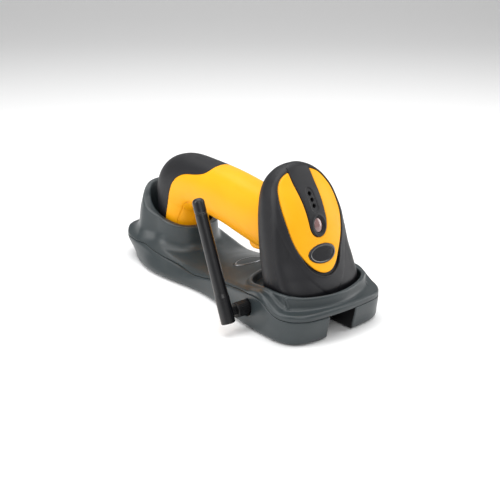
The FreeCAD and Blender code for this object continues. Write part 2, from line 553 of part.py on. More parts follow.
# knurled coupling nut on the side wall
ny0, ny1 = P("nut_out"), P("nut_in")
nut = cyl(P("nut_rad"), ny1 - ny0, (P("pivot_x"), ny0, P("pivot_z")), (0, 1, 0))
try:
    nut = nut.makeChamfer(0.5, [e for e in nut.Edges if e.Curve.TypeId == "Part::GeomCircle"])
except Exception:
    pass
for k in range(24):
    a = 2 * math.pi * k / 24
    groove = cyl(0.36, ny1 - ny0 - 2.4, (P("pivot_x") + (P("nut_rad") + 0.05) * math.cos(a), ny0 + 1.2, P("pivot_z") + (P("nut_rad") + 0.05) * math.sin(a)), (0, 1, 0))
    nut = nut.cut(groove)
nut = nut.cut(cyl(P("spigot_bore"), 4, (P("pivot_x"), ny0 - 1, P("pivot_z")), (0, 1, 0)))
nut = nut.cut(cyl(P("nut_bore"), 20, (P("pivot_x"), ny0 + 1.9, P("pivot_z")), (0, 1, 0)))
feature("antenna_nut", nut)

# bulkhead connector through the side wall, with its lock nut inside
b = body("antenna_jack")
sk = sketch(b, "jack_barrel", "XZ_Plane")
circle(sk, "Params.thread_rad", P("thread_rad"))
pad(b, sk, "13.6", "barrel", True)
doc.recompute()
sk = sketch(b, "jack_core", "XZ_Plane")
circle(sk, "0.7", 0.7)
pocket(b, sk, "6", "barrel_bored", False)
place(b, "Params.pivot_x", "-49.4", "Params.pivot_z")
hexnut = doc.addObject("Part::Prism", "jack_hex")
hexnut.Polygon = 6
hexnut.setExpression("Circumradius", "Params.jack_nut_rad")
hexnut.setExpression("Height", "Params.jack_nut_thick")
hexbore = doc.addObject("Part::Cylinder", "jack_hex_bore")
hexbore.setExpression("Radius", "Params.thread_rad + 0.03")
hexbore.setExpression("Height", "Params.jack_nut_thick")
lock = doc.addObject("Part::Cut", "antenna_lock_nut")
lock.Base, lock.Tool = hexnut, hexbore
lock.Label = "antenna_lock_nut"
place(lock, "Params.pivot_x", "-36.2", "Params.pivot_z", (1, 0, 0), 90)
parts.append(lock)

# ---------------------------------------------------------------- scanner head
#   z, rear x, widest x, front x, half width
HEAD = [(18, 44, 76, 91.5, 33.0), (29, 43, 78, 93, 34.0), (40, 41.5, 74, 87.8, 34.2), (52, 39.6, 69.5, 82.3, 33.4),
        (64, 37.8, 66.5, 79.4, 32.4), (74, 36.2, 64, 77.0, 31.0), (83, 35.5, 61, 73, 29.0), (91, 36.2, 58, 67.8, 26.8),
        (98, 38, 55, 62, 23.0), (104.4, 41.6, 53, 57.5, 16.0), (108.8, 47, 51.5, 54.5, 7.5)]
FRONT_N, REAR_N = 2.3, 2.6


def head_section(z, dist=0.0, drop=0.0, count=40):
    cols = list(zip(*HEAD))
    xr, xc, xf, hw = [interp(z, cols[0], cols[k]) for k in (1, 2, 3, 4)]
    xr, xf, hw = xr + dist, xf - dist, hw - dist
    xc = min(max(xc, xr + 1), xf - 1)
    pts = []
    for k in range(count):
        t = 2 * math.pi * k / count
        c, s = math.cos(t), math.sin(t)
        n = FRONT_N if c > 0 else REAR_N
        a = xf - xc if c > 0 else xc - xr
        r = (abs(c) ** n + abs(s) ** n) ** (-1.0 / n)
        pts.append((xc + a * r * c, hw * r * s, z - drop))
    return pts


def head(dist, low):
    rows = []
    for z, k in ((29, 0), (40, 0), (52, 0), (64, 0.02), (74, 0.1), (83, 0.3), (91, 0.5), (98, 0.75), (104.4, 0.95), (108.8, 1.0)):
        rows.append(head_section(z, dist, dist * k))
    if low < 29:
        rows.insert(0, head_section(max(low, 18), dist, max(18 - low, 0)))
    return loft(rows)


h0 = head(0.0, P("nose_z"))
h1 = head(P("boot_skin"), 17)
h2 = head(P("boot_skin") + P("housing_wall"), 16)
proud = head(-0.5, P("nose_z"))
seat = head(0.6, P("nose_z"))

# handle centre line: x, z, direction, half depth, half width
GRIPLINE = [(44, 61.5, -1, 0.04, 22.6, 18.0), (30, 62.3, -1, 0.06, 22.2, 17.9), (15, 63.6, -1, 0.08, 21.6, 17.8), (-10, 67.2, -1, 0.07, 20.9, 17.8),
            (-35, 69.4, -1, 0.02, 20.3, 18.0), (-55, 69.8, -1, -0.15, 20.9, 18.6), (-68, 67.0, -0.85, -0.5, 22.8, 19.3),
            (-75.5, 60.0, -0.52, -0.85, 22.6, 19.7), (-78.5, 49.5, -0.2, -1, 20.6, 19.5), (-79.6, 38, -0.06, -1, 19.9, 19.0), (-80, 26.3, -0.03, -1, 19.3, 18.4)]


def handle_section(row, dist=0.0, shift=0.0, count=36):
    x, z, dx, dz, hd, hw = row
    length = math.hypot(dx, dz)
    dx, dz = dx / length, dz / length
    nx, nz = dz, -dx            # towards the back of the hand: up over the handle, rearwards at the butt
    x, z = x + dx * shift, z + dz * shift
    pts = []
    for k in range(count):
        t = 2 * math.pi * k / count
        c, s = math.cos(t), math.sin(t)
        r = (abs(c) ** 2.25 + abs(s) ** 2.25) ** (-1 / 2.25)
        u, v = (hd - dist) * r * c, (hw - dist) * r * s
        pts.append((x + nx * u, v, z + nz * u))
    return pts


def handle(dist, shift=0.0):
    rows = [handle_section(r, dist) for r in GRIPLINE]
    if shift:
        rows[0] = handle_section(GRIPLINE[0], dist, -shift)
        rows[-1] = handle_section(GRIPLINE[-1], dist, shift)
    return loft(rows)


g0 = handle(0.0)
g1 = handle(P("grip_skin"), 1.0)
g2 = handle(P("handle_wall"), 2.0)

EGG = [(0, 39.6), (5, 40.6), (9.5, 43.4), (14.5, 48.7), (18.8, 55.6), (21.5, 63), (23, 71), (23.4, 79), (22.8, 87.2), (20.6, 94.3), (16.5, 100.4), (9.5, 104.2), (0, 105.6)]
EGG = EGG + [(-y, z) for y, z in reversed(EGG[1:-1])]
TONGUE = [(0, 63.2), (3.6, 64.1), (6.4, 67.2), (7.6, 72), (8.0, 80), (8.6, 90), (9.2, 99), (9.2, 106), (8, 112), (0, 114)]
TONGUE = TONGUE + [(-y, z) for y, z in reversed(TONGUE[1:-1])]
egg = prism_yz(EGG, 54, 110)
tongue_cut = prism_yz(TONGUE, 54, 110)
badge_cut = prism_yz([(P("badge_semi_y") * math.cos(2 * math.pi * k / 32), P("badge_z") + P("badge_semi_z") * math.sin(2 * math.pi * k / 32)) for k in range(32)], 70, 110)
led_cut = prism_yz([(P("led_semi_y") * math.cos(2 * math.pi * k / 24), P("led_z") + P("led_semi_z") * math.sin(2 * math.pi * k / 24)) for k in range(24)], P("led_back"), 90)

boot = h0.cut(h1)
panel = boot.common(egg).cut(tongue_cut)
boot = boot.cut(egg).cut(tongue_cut).cut(g0)
strip = proud.cut(h1).common(tongue_cut)
badge = proud.cut(seat).common(badge_cut)
panel = panel.cut(badge)
for z in (90.6, 86.9, 83.2):
    strip = strip.cut(cyl(P("hole_rad"), 40, (55, 0, z), (1, 0, 0)))
strip = strip.cut(led_cut)
housing = h1.cut(h2).cut(g0).cut(box((0, -60, 0), (120, 60, 25.4))).cut(led_cut)
window_block = h1.common(box((0, -60, P("window_z") - P("window_thick")), (120, 60, P("window_z"))))
for z in (90.6, 86.9, 83.2):
    housing = housing.cut(cyl(P("hole_rad"), 40, (55, 0, z), (1, 0, 0)))
feature("head_boot", boot)
feature("head_housing", housing)
feature("head_top_panel", panel)
feature("spine_strip", strip)
feature("head_badge", badge)
lens_solid = head(-0.3, P("nose_z")).common(led_cut)
feature("status_lens", lens_solid)
feature("scan_window", window_block)

b = body("scan_engine")
sk = sketch(b, "engine_outline")
rectangle(sk, "Params.engine_long", "Params.engine_wide", P("engine_long"), P("engine_wide"))
pad(b, sk, "Params.engine_tall", "engine_case")
doc.recompute()
sk = sketch(b, "engine_port")
circle(sk, "Params.lens_rad", P("lens_rad"))
pocket(b, sk, "Params.lens_tall - 1", "engine_bored", True)
place(b, "Params.engine_x", "0", "Params.engine_z")
b = body("engine_lens")
sk = sketch(b, "lens_outline")
circle(sk, "Params.lens_rad", P("lens_rad"))
pad(b, sk, "Params.lens_tall", "lens_glass")
place(b, "Params.engine_x", "0", "Params.engine_z - 1")
b = body("buzzer")
sk = sketch(b, "buzzer_outline", "YZ_Plane")
circle(sk, "Params.buzzer_rad", P("buzzer_rad"))
pad(b, sk, "Params.buzzer_thick", "buzzer_can")
place(b, "Params.buzzer_x", "0", "Params.buzzer_z")

# ---------------------------------------------------------------- handle
SEAM = [(60, 49.0), (44, 49.3), (30, 50.3), (15, 52.2), (-10, 56.0), (-35, 58.6), (-50, 58.0), (-59, 53.5), (-64.5, 45), (-67, 36), (-68, 20)]
under = prism_xz(SEAM + [(60, 20)], -40, 40, spline=len(SEAM))
BLACK = [(-26, 98), (-28.5, 90), (-30.5, 86), (-36, 83), (-45, 81), (-55, 79), (-62, 75.5), (-68, 69), (-71.5, 61), (-74, 52), (-77.5, 40), (-80, 18)]
black = prism_xz(BLACK + [(-130, 18), (-130, 98)], -40, 40, spline=len(BLACK))
skin = g0.cut(g1).common(black)
shell = g0.cut(g2)
lower = shell.common(under)
upper = shell.cut(under).cut(skin)
# cross rib that takes the two handle screws
hx = (P("handle_screw_x"), -50.0)
for x in hx:
    rib = g1.common(box((x - 3, -20, P("rib_low")), (x + 3, 20, P("rib_high")))).cut(under)
    upper = upper.fuse(rib)
    upper = upper.cut(cyl(1.06, 20, (x, 0, P("rib_low") - 3)))
    post = cyl(3.2, P("rib_low") - 0.1 - 46, (x, 0, 46)).common(g1)
    lower = lower.fuse(post)
    lower = lower.cut(cyl(1.35, 30, (x, 0, 40)))
    lower = lower.cut(cyl(2.6, 14, (x, 0, 40)))
# slot for the trigger, and the two ears that hold its pin
lower = lower.cut(box((11.2, -9.2, 36), (38.8, 9.2, 47.5)))
pin_y = P("trigger_pin_long") / 2
for s in (-1, 1):
    ear = box((P("trigger_pivot_x") - 3, min(s * 9.3, s * 12.4), 44), (P("trigger_pivot_x") + 3, max(s * 9.3, s * 12.4), P("trigger_pivot_z") + 2.6)).common(g1)
    lower = lower.fuse(ear)
lower = lower.cut(cyl(P("trigger_pin_rad"), P("trigger_pin_long"), (P("trigger_pivot_x"), -pin_y, P("trigger_pivot_z")), (0, 1, 0)))
upper = upper.cut(box((P("trigger_pivot_x") - 3.1, -12.5, 40), (P("trigger_pivot_x") + 3.1, 12.5, P("trigger_pivot_z") + 2.7)))
feature("handle_upper_shell", upper)
feature("handle_lower_shell", lower)
feature("grip_overmould", skin)

carrier = g2.common(box((-96.0, -30, P("butt_z")), (-40, 30, P("butt_z") + P("carrier_thick"))))
pads = []
for y in rows:
    pad_shape = box((P("block_x") - P("pad_size") / 2, y - P("pad_size") / 2, P("butt_z")), (P("block_x") + P("pad_size") / 2, y + P("pad_size") / 2, P("butt_z") + P("pad_thick")))
    carrier = carrier.cut(pad_shape)
    pads.append(pad_shape)
feature("contact_carrier", carrier)
feature("contact_pads", Part.makeCompound(pads))

trig_pts = [(13.4, 45.5), (13.6, 42.0), (15.6, 39.6), (19, 38.8), (25, 39.6), (32, 41.8), (36.4, 44.6), (37.6, 48), (37.5, 53.3), (35, 55.8),
            (32.5, 53.3), (31.6, 50.6), (24, 49.6), (15.5, 50.3), (13.6, 48.6)]
curve = Part.BSplineCurve()
curve.interpolate(Points=[V(x, -P("trigger_half"), z) for x, z in trig_pts], PeriodicFlag=True)
trig = Part.Face(Part.Wire([curve.toShape()])).extrude(V(0, 2 * P("trigger_half"), 0))
trig = trig.fuse(cyl(2.1, 3.0, (17.5, 0, 48.1)))
trig = trig.cut(cyl(P("trigger_pin_fit"), 40, (P("trigger_pivot_x"), -20, P("trigger_pivot_z")), (0, 1, 0)))
feature("trigger", trig)
b = body("trigger_pin")
sk = sketch(b, "pin_outline", "XZ_Plane")
circle(sk, "Params.trigger_pin_rad", P("trigger_pin_rad"))
pad(b, sk, "Params.trigger_pin_long", "pin_bar")
place(b, "Params.trigger_pivot_x", "Params.trigger_pin_long / 2", "Params.trigger_pivot_z")
helix = Part.makeHelix(1.35, 6.9, 1.5)
ringw = Part.Wire([Part.Circle(V(1.5, 0, 0), V(0, 1, 0), 0.22).toShape()])
coil = Part.Wire(helix).makePipeShell([ringw], True, True)
coil.translate(V(17.5, 0, P("main_z") - 6.9 - 0.25))
feature("trigger_spring", coil)

b = body("main_board")
sk = sketch(b, "main_outline")
rectangle(sk, "Params.main_long", "Params.main_wide", P("main_long"), P("main_wide"))
pad(b, sk, "Params.main_thick", "main_plate")
place(b, "Params.main_x", "0", "Params.main_z")
b = body("trigger_switch")
sk = sketch(b, "switch_outline")
rectangle(sk, "Params.switch_long", "Params.switch_wide", P("switch_long"), P("switch_wide"))
pad(b, sk, "Params.switch_tall - 0.8", "switch_case")
doc.recompute()
sk = sketch(b, "switch_button")
circle(sk, "1.7", 1.7)
pad(b, sk, "0.8", "switch_plunger", True)
place(b, "Params.switch_x", "0", "Params.main_z - Params.switch_tall + 0.8")
b = body("battery_cell")
sk = sketch(b, "cell_outline", "YZ_Plane")
circle(sk, "Params.cell_rad", P("cell_rad"))
pad(b, sk, "Params.cell_long", "cell_can")
doc.recompute()
place(b, "Params.cell_x", "0", "Params.cell_z")

hs = []
for k, x in enumerate(hx):
    top = 54.0
    hs.append(cyl(2.3, 1.6, (x, 0, top - 1.6)).fuse(cyl(1.0, 8.6, (x, 0, top))))
feature("handle_screws", Part.makeCompound(hs))

# ---------------------------------------------------------------- checks and export
doc.recompute()
problems = []
for obj in doc.Objects:
    if "Invalid" in obj.State or "Error" in obj.State:
        problems.append("%s %s" % (obj.Label, obj.State))
names = set()
for obj in parts:
    shape = obj.Shape
    if shape.isNull() or not shape.isValid() or shape.Volume <= 0:
        problems.append("%s null=%s" % (obj.Label, shape.isNull()))
    if obj.Label in names:
        problems.append("label twice: " + obj.Label)
    names.add(obj.Label)
total = FreeCAD.BoundBox()
for obj in parts:
    if not obj.Shape.isNull():
        total.add(obj.Shape.optimalBoundingBox(True, False))
        print("%-20s solids %2d  faces %4d  volume %10.1f  %s" % (obj.Label, len(obj.Shape.Solids), len(obj.Shape.Faces), obj.Shape.Volume, "ok" if obj.Shape.isValid() else "BAD"))
print("box", total)
print("centre", (total.XMin + total.XMax) / 2, (total.YMin + total.YMax) / 2, total.ZMin)
if problems:
    raise RuntimeError("; ".join(problems))
os.makedirs("parts", exist_ok=True)
for obj in parts:
    obj.Shape.exportStep("parts/%s.step" % obj.Label)
print("written", len(parts))
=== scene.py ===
import json
import math
import bpy
import numpy as np
from mathutils import Matrix, Vector


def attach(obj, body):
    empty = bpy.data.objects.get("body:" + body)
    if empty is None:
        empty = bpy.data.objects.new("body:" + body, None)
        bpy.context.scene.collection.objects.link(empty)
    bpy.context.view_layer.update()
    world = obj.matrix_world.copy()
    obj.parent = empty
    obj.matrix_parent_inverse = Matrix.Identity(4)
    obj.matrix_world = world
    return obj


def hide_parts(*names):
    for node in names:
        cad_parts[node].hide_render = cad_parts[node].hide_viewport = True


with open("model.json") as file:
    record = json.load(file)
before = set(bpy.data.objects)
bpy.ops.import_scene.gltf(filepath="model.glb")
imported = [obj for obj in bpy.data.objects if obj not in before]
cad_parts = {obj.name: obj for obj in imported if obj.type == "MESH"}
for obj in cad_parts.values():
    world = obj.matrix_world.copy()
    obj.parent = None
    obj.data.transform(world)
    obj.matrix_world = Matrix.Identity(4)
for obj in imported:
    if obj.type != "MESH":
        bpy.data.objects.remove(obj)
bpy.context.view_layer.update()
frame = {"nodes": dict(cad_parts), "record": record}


OX, OY = 9.7763, 9.2832          # shift of the working origin, mm


# ------------------------------------------------------------------ curves and fields
def table(xs, ys, n=1600):
    xs, ys = np.array(xs, float), np.array(ys, float)
    h = np.diff(xs)
    d = np.diff(ys) / h
    m = np.zeros(len(xs))
    m[0], m[-1] = d[0], d[-1]
    for i in range(1, len(xs) - 1):
        if d[i - 1] * d[i] > 0:
            w1, w2 = 2 * h[i] + h[i - 1], h[i] + 2 * h[i - 1]
            m[i] = (w1 + w2) / (w1 / d[i - 1] + w2 / d[i])
    X = np.linspace(xs[0], xs[-1], n)
    i = np.clip(np.searchsorted(xs, X, "right") - 1, 0, len(xs) - 2)
    t = (X - xs[i]) / h[i]
    Y = (1 + 2 * t) * (1 - t) ** 2 * ys[i] + t * (1 - t) ** 2 * h[i] * m[i] + t * t * (3 - 2 * t) * ys[i + 1] + t * t * (t - 1) * h[i] * m[i + 1]
    k = max(3, n // 160)         # softens the joins between spans
    Y = np.convolve(np.pad(Y, k, mode="edge"), np.ones(2 * k + 1) / (2 * k + 1), "valid")
    return lambda x: np.interp(x, X, Y)


def ring(points, n=320):
    """Closed smooth curve through points."""
    P = np.array(points, float)
    k = len(P)
    seg = np.linalg.norm(np.roll(P, -1, 0) - P, axis=1)
    T = np.concatenate([[0], np.cumsum(seg)])
    A, B = np.zeros((k, k)), np.zeros((k, 2))
    for i in range(k):
        h0, h1 = seg[i - 1], seg[i]
        A[i, (i - 1) % k] += h1
        A[i, i] += 2 * (h0 + h1)
        A[i, (i + 1) % k] += h0
        B[i] = 3 * (h1 * (P[i] - P[i - 1]) / h0 + h0 * (P[(i + 1) % k] - P[i]) / h1)
    M = np.linalg.solve(A, B)
    s = np.linspace(0, T[-1], n, endpoint=False)
    i = np.searchsorted(T, s, "right") - 1
    t = ((s - T[i]) / seg[i])[:, None]
    j = (i + 1) % k
    h = seg[i][:, None]
    return (1 + 2 * t) * (1 - t) ** 2 * P[i] + t * (1 - t) ** 2 * h * M[i] + t * t * (3 - 2 * t) * P[j] + t * t * (t - 1) * h * M[j]


def mirrored(half):
    return list(half) + [(x, -y) for x, y in half[-2:0:-1]]


def sampler(D, lo, step):
    def f(x, y):
        u = np.clip((x - lo[0]) / step, 0, D.shape[0] - 1.001)
        v = np.clip((y - lo[1]) / step, 0, D.shape[1] - 1.001)
        i, j = u.astype(np.int32), v.astype(np.int32)
        a, b = u - i, v - j
        return (D[i, j] * (1 - a) + D[i + 1, j] * a) * (1 - b) + (D[i, j + 1] * (1 - a) + D[i + 1, j + 1] * a) * b
    return f


def plan(poly, step=0.6, pad=14):
    """Signed distance to a closed polygon, negative inside, as a sampled field."""
    poly = np.asarray(poly, float)
    lo, hi = poly.min(0) - pad, poly.max(0) + pad
    gx, gy = np.arange(lo[0], hi[0] + step, step), np.arange(lo[1], hi[1] + step, step)
    X, Y = np.meshgrid(gx, gy, indexing="ij")
    px, py = X.ravel(), Y.ravel()
    best = np.full(len(px), 1e9)
    inside = np.zeros(len(px), bool)
    for a, b in zip(poly, np.roll(poly, -1, 0)):
        dx, dy = b - a
        t = np.clip(((px - a[0]) * dx + (py - a[1]) * dy) / (dx * dx + dy * dy + 1e-12), 0, 1)
        best = np.minimum(best, (px - a[0] - t * dx) ** 2 + (py - a[1] - t * dy) ** 2)
        if dy:
            inside ^= ((a[1] > py) != (b[1] > py)) & (px < dx * (py - a[1]) / dy + a[0])
    return sampler((np.where(inside, -1, 1) * np.sqrt(best)).reshape(X.shape), lo, step)


def smax(a, b, r):
    h = np.maximum(r - np.abs(a - b), 0) / r
    return np.maximum(a, b) + h * h * r * 0.25


def smin(a, b, r):
    return -smax(-a, -b, r)


def step01(t):
    t = np.clip(t, 0, 1)
    return t * t * (3 - 2 * t)


def boxf(x, y, z, lo, hi):
    d = [np.abs(c - (l + h) / 2) - (h - l) / 2 for c, l, h in zip((x, y, z), lo, hi)]
    return np.maximum(np.maximum(d[0], d[1]), d[2])


def unit(f, e=0.25):
    """Divides a field by its slope, so that its offsets are even."""
    def g(x, y, z):
        v = f(x, y, z)
        gx, gy, gz = f(x + e, y, z) - v, f(x, y + e, z) - v, f(x, y, z + e) - v
        return v / np.maximum(np.sqrt(gx * gx + gy * gy + gz * gz) / e, 0.35)
    return g


# ------------------------------------------------------------------ meshing
def odd_edges(quads, count):
    edges = np.sort(np.stack([quads, np.roll(quads, -1, 1)], 2).reshape(-1, 2), 1)
    keys, times = np.unique(edges[:, 0] * (count + 1) + edges[:, 1], return_counts=True)
    keys = keys[times != 2]
    return np.unique(np.concatenate([keys // (count + 1), keys % (count + 1)])), len(keys)


def part_sheets(quads, pos):
    """Where two sheets of faces meet at an edge or a point, gives each its own vertices."""
    for _ in range(3):
        shared, left = odd_edges(quads, len(pos))
        if not left:
            break
        faces_at = {int(v): [] for v in shared}
        for f in np.nonzero(np.isin(quads, shared).any(1))[0]:
            for v in quads[f]:
                if int(v) in faces_at:
                    faces_at[int(v)].append(int(f))
        extra = []
        for v, faces in faces_at.items():
            near = {}
            for f in faces:
                i = int(np.nonzero(quads[f] == v)[0][0])
                for w in (quads[f][i - 1], quads[f][(i + 1) % 4]):
                    near.setdefault(int(w), []).append(f)
            group = {f: f for f in faces}

            def top(f):
                while group[f] != f:
                    f = group[f]
                return f
            for pair in near.values():
                if len(pair) == 2:
                    group[top(pair[0])] = top(pair[1])
            fans = {}
            for f in faces:
                fans.setdefault(top(f), []).append(f)
            if len(fans) < 2:
                continue
            fans = list(fans.values())
            here = pos[v].copy()
            for fan in fans[1:]:
                centre = np.mean([pos[[q for q in quads[f] if q < len(pos)]].mean(0) for f in fan], 0)
                extra.append(here + 0.12 * (centre - here))
                for f in fan:
                    quads[f][quads[f] == v] = len(pos) + len(extra) - 1
            centre = np.mean([pos[[q for q in quads[f] if q < len(pos)]].mean(0) for f in fans[0]], 0)
            pos[v] = here + 0.12 * (centre - here)
        if not extra:
            break
        pos = np.concatenate([pos, np.array(extra)])
    return quads, pos


def net(name, f, lo, hi, h, passes=3, smooth=True):
    """Closed mesh of f = 0, by surface nets, with every vertex then moved onto the surface."""
    lo, hi = np.array(lo, float) - 2.2 * h, np.array(hi, float) + 2.2 * h
    n = np.ceil((hi - lo) / h).astype(int) + 1
    ax = [lo[k] + h * np.arange(n[k]) for k in range(3)]
    F = np.empty(n, np.float32)
    for i0 in range(0, n[0], 24):
        X, Y, Z = np.meshgrid(ax[0][i0:i0 + 24], ax[1], ax[2], indexing="ij")
        F[i0:i0 + 24] = f(X, Y, Z)
    for k in range(3):
        sl = [slice(None)] * 3
        for e in (0, -1):
            sl[k] = e
            F[tuple(sl)] = np.maximum(F[tuple(sl)], h)
    S = F < 0
    c = np.zeros(n - 1, np.int8)
    corners = [(i, j, k) for i in (0, 1) for j in (0, 1) for k in (0, 1)]
    for i, j, k in corners:
        c += S[i:n[0] - 1 + i, j:n[1] - 1 + j, k:n[2] - 1 + k]
    mixed = (c > 0) & (c < 8)
    cells = np.argwhere(mixed)
    index = -np.ones(mixed.shape, np.int64)
    index[mixed] = np.arange(len(cells))
    pos, cnt = np.zeros((len(cells), 3)), np.zeros(len(cells))
    for a in corners:
        for k in range(3):
            if a[k]:
                continue
            b = list(a)
            b[k] = 1
            fa = F[cells[:, 0] + a[0], cells[:, 1] + a[1], cells[:, 2] + a[2]]
            fb = F[cells[:, 0] + b[0], cells[:, 1] + b[1], cells[:, 2] + b[2]]
            cross = (fa < 0) != (fb < 0)
            t = np.where(cross, fa / np.where(cross, fa - fb, 1), 0)
            q = np.array(a, float)[None] + t[:, None] * (np.array(b) - np.array(a))[None]
            pos += q * cross[:, None]
            cnt += cross
    pos = (cells + pos / cnt[:, None]) * h + lo
    quads = []
    for k in range(3):
        u, v = (k + 1) % 3, (k + 2) % 3
        A = np.moveaxis(S, (k, u, v), (0, 1, 2))
        I = np.moveaxis(index, (k, u, v), (0, 1, 2))
        cross = A[:-1, 1:-1, 1:-1] != A[1:, 1:-1, 1:-1]
        w = np.argwhere(cross)
        i, j, l = w[:, 0], w[:, 1] + 1, w[:, 2] + 1
        q = np.stack([I[i, j - 1, l - 1], I[i, j, l - 1], I[i, j, l], I[i, j - 1, l]], 1)
        inner = A[i, j, l]
        q[~inner] = q[~inner][:, ::-1]
        quads.append(q)
    quads = np.concatenate(quads)
    quads, pos = part_sheets(quads, pos)
    e = 0.12
    for _ in range(passes):
        x, y, z = pos.T
        v = f(x, y, z)
        g = np.stack([f(x + e, y, z) - f(x - e, y, z), f(x, y + e, z) - f(x, y - e, z), f(x, y, z + e) - f(x, y, z - e)], 1) / (2 * e)
        move = -v[:, None] * g / ((g * g).sum(1) + 1e-3)[:, None]
        size = np.linalg.norm(move, axis=1)
        pos = pos + move * np.minimum(1, 0.45 * h / (size + 1e-9))[:, None]
    pos = (pos + np.array([OX, OY, 0])) / 1000
    me = bpy.data.meshes.new(name)
    me.vertices.add(len(pos))
    me.vertices.foreach_set("co", pos.astype(np.float32).ravel())
    me.loops.add(4 * len(quads))
    me.loops.foreach_set("vertex_index", quads.astype(np.int32).ravel())
    me.polygons.add(len(quads))
    me.polygons.foreach_set("loop_start", (np.arange(len(quads)) * 4).astype(np.int32))
    me.update(calc_edges=True)
    me.validate()
    me.polygons.foreach_set("use_smooth", np.ones(len(me.polygons), bool))
    o = bpy.data.objects.new(name, me)
    bpy.context.scene.collection.objects.link(o)
    edges = np.sort(np.stack([quads, np.roll(quads, -1, 1)], 2).reshape(-1, 2), 1)
    _, counts = np.unique(edges[:, 0] * (len(pos) + 1) + edges[:, 1], return_counts=True)
    print("NET %-22s verts %6d odd edges %d" % (name, len(pos), int((counts != 2).sum())))
    return o


# ------------------------------------------------------------------ cradle
OUT = plan(ring(mirrored([(-126.8, 0), (-126.2, 11), (-124, 21), (-118, 29.5), (-106, 34.6), (-88, 36.4), (-62, 35.2), (-38, 33.8), (-20, 33.4), (0, 34),
                          (22, 36), (42, 39.6), (62, 43.6), (76, 45.6), (87, 44.8), (96, 41.2), (102.6, 34), (105.6, 21), (106.8, 0)])))
BOT = plan(ring(mirrored([(-121, 0), (-119.5, 12), (-114.5, 23), (-104, 31.4), (-88, 37.4), (-69, 40.6), (-52, 40), (-36, 38), (-22, 36), (-6, 35.4), (9, 36.8),
                          (28, 40.4), (46, 43.6), (61, 44.8), (76, 45.2), (87, 44.4), (96.5, 40), (101.6, 32), (103.4, 22), (104, 10), (104.2, 0)])), pad=30)
CUP = plan(ring(mirrored([(28, 0), (30.5, 12), (37, 23.5), (47, 31), (60, 34.6), (76, 35.4), (87, 32.5), (93.5, 21.5), (96.6, 9), (97.3, 0)])), pad=40)
REAR = plan(ring(mirrored([(-110, 0), (-107, 11.5), (-98, 19.8), (-84, 22.8), (-68, 20.5), (-57, 12), (-54, 0)])), pad=40)
PART = table([-135, -118, -104, -88, -74, -60, -47, -35, -24, -12, 0, 23, 37, 50, 60, 68, 74, 80, 86, 92, 107, 120],
             [16.8, 17.2, 18.3, 18.6, 16.3, 14.2, 12.7, 11.7, 11.6, 12.9, 15.2, 18.6, 21, 23.6, 25.4, 26, 24.5, 21.5, 19, 18, 18, 18])
DECK = table([-135, -115, -98, -82, -64, -50, -37, -22, -6, 18, 35, 50, 60, 67, 73, 78, 83, 88, 95, 120],
             [24.4, 23.8, 22.6, 21.0, 17.9, 14.9, 13.6, 14.6, 17.0, 20.2, 23.2, 26.8, 29.4, 30.7, 30, 27.5, 24.5, 22.8, 22.3, 22.3])
CROWN = table([-135, -100, -60, -40, -20, 0, 15, 30, 42, 120], [0.01, 0.4, 2.2, 3.8, 4.8, 4.8, 3.6, 1.2, 0.01, 0.01])
EDGE = table([-135, -114, -102, -85, -60, -38, -20, 0, 22, 42, 64, 120], [25, 26.5, 29, 30.6, 30, 29.6, 29.8, 30.6, 32.2, 35, 40, 42])
SLOPE = table([-135, -118, -100, -80, 44, 62, 120], [0.3, 0.5, 0.65, 0.68, 0.68, 0.02, 0.01])
RIM = table([10, 28, 38, 47, 60, 70, 80, 88, 94, 100, 115], [23, 25.2, 26.6, 28, 30.6, 31.8, 32, 31.6, 30, 29, 28.8])
REARRIM = table([-130, -112, -105, -99, -93, -86, -78, -70, -60, -40], [61.5, 61, 57, 51.5, 47.3, 43.6, 41.0, 38.9, 36.6, 35.2])
FLARE = table([18, 20, 25, 29, 35, 66], [6.0, 5.6, 4.8, 3.6, 2.9, 2.6])
SPREAD = table([18, 25, 31, 41, 51.7, 58, 62, 70], [6.0, 6.3, 6.1, 5.2, 2.8, 1.0, 0.1, 0.01])       # the tower leans out towards its foot


def deck(x, y):
    edge = EDGE(x)
    t = np.minimum(np.abs(y) / edge, 1)
    over = np.abs(y) - edge
    bend = 0.5 * (over + np.sqrt(over * over + 1.2))         # soft turn at the crest
    return DECK(x) + CROWN(x) * (1 - t * t) - SLOPE(x) * bend


def sides(x, y, z):
    t = step01((z - 3) / 14)
    return BOT(x, y) * (1 - t) + OUT(x, y) * t


def hull(x, y, z):
    return smax(smax(sides(x, y, z), 0.8 - z, 3.6), z - deck(x, y), 2.2)


def cavity(x, y, z):
    return np.maximum(np.maximum(sides(x, y, z) + 2.4, 3.2 - z), z - deck(x, y) + 2.9)


def cyl_z(x, y, z, cx, cy, r, z0, z1):
    return np.maximum(np.hypot(x - cx, y - cy) - r, np.abs(z - (z0 + z1) / 2) - (z1 - z0) / 2)


BOSSES = [(x, s * 25.0) for x in (-62.0, 22.0) for s in (-1, 1)]
FEET = [(-92, 23), (-92, -23), (76, 33), (76, -33)]


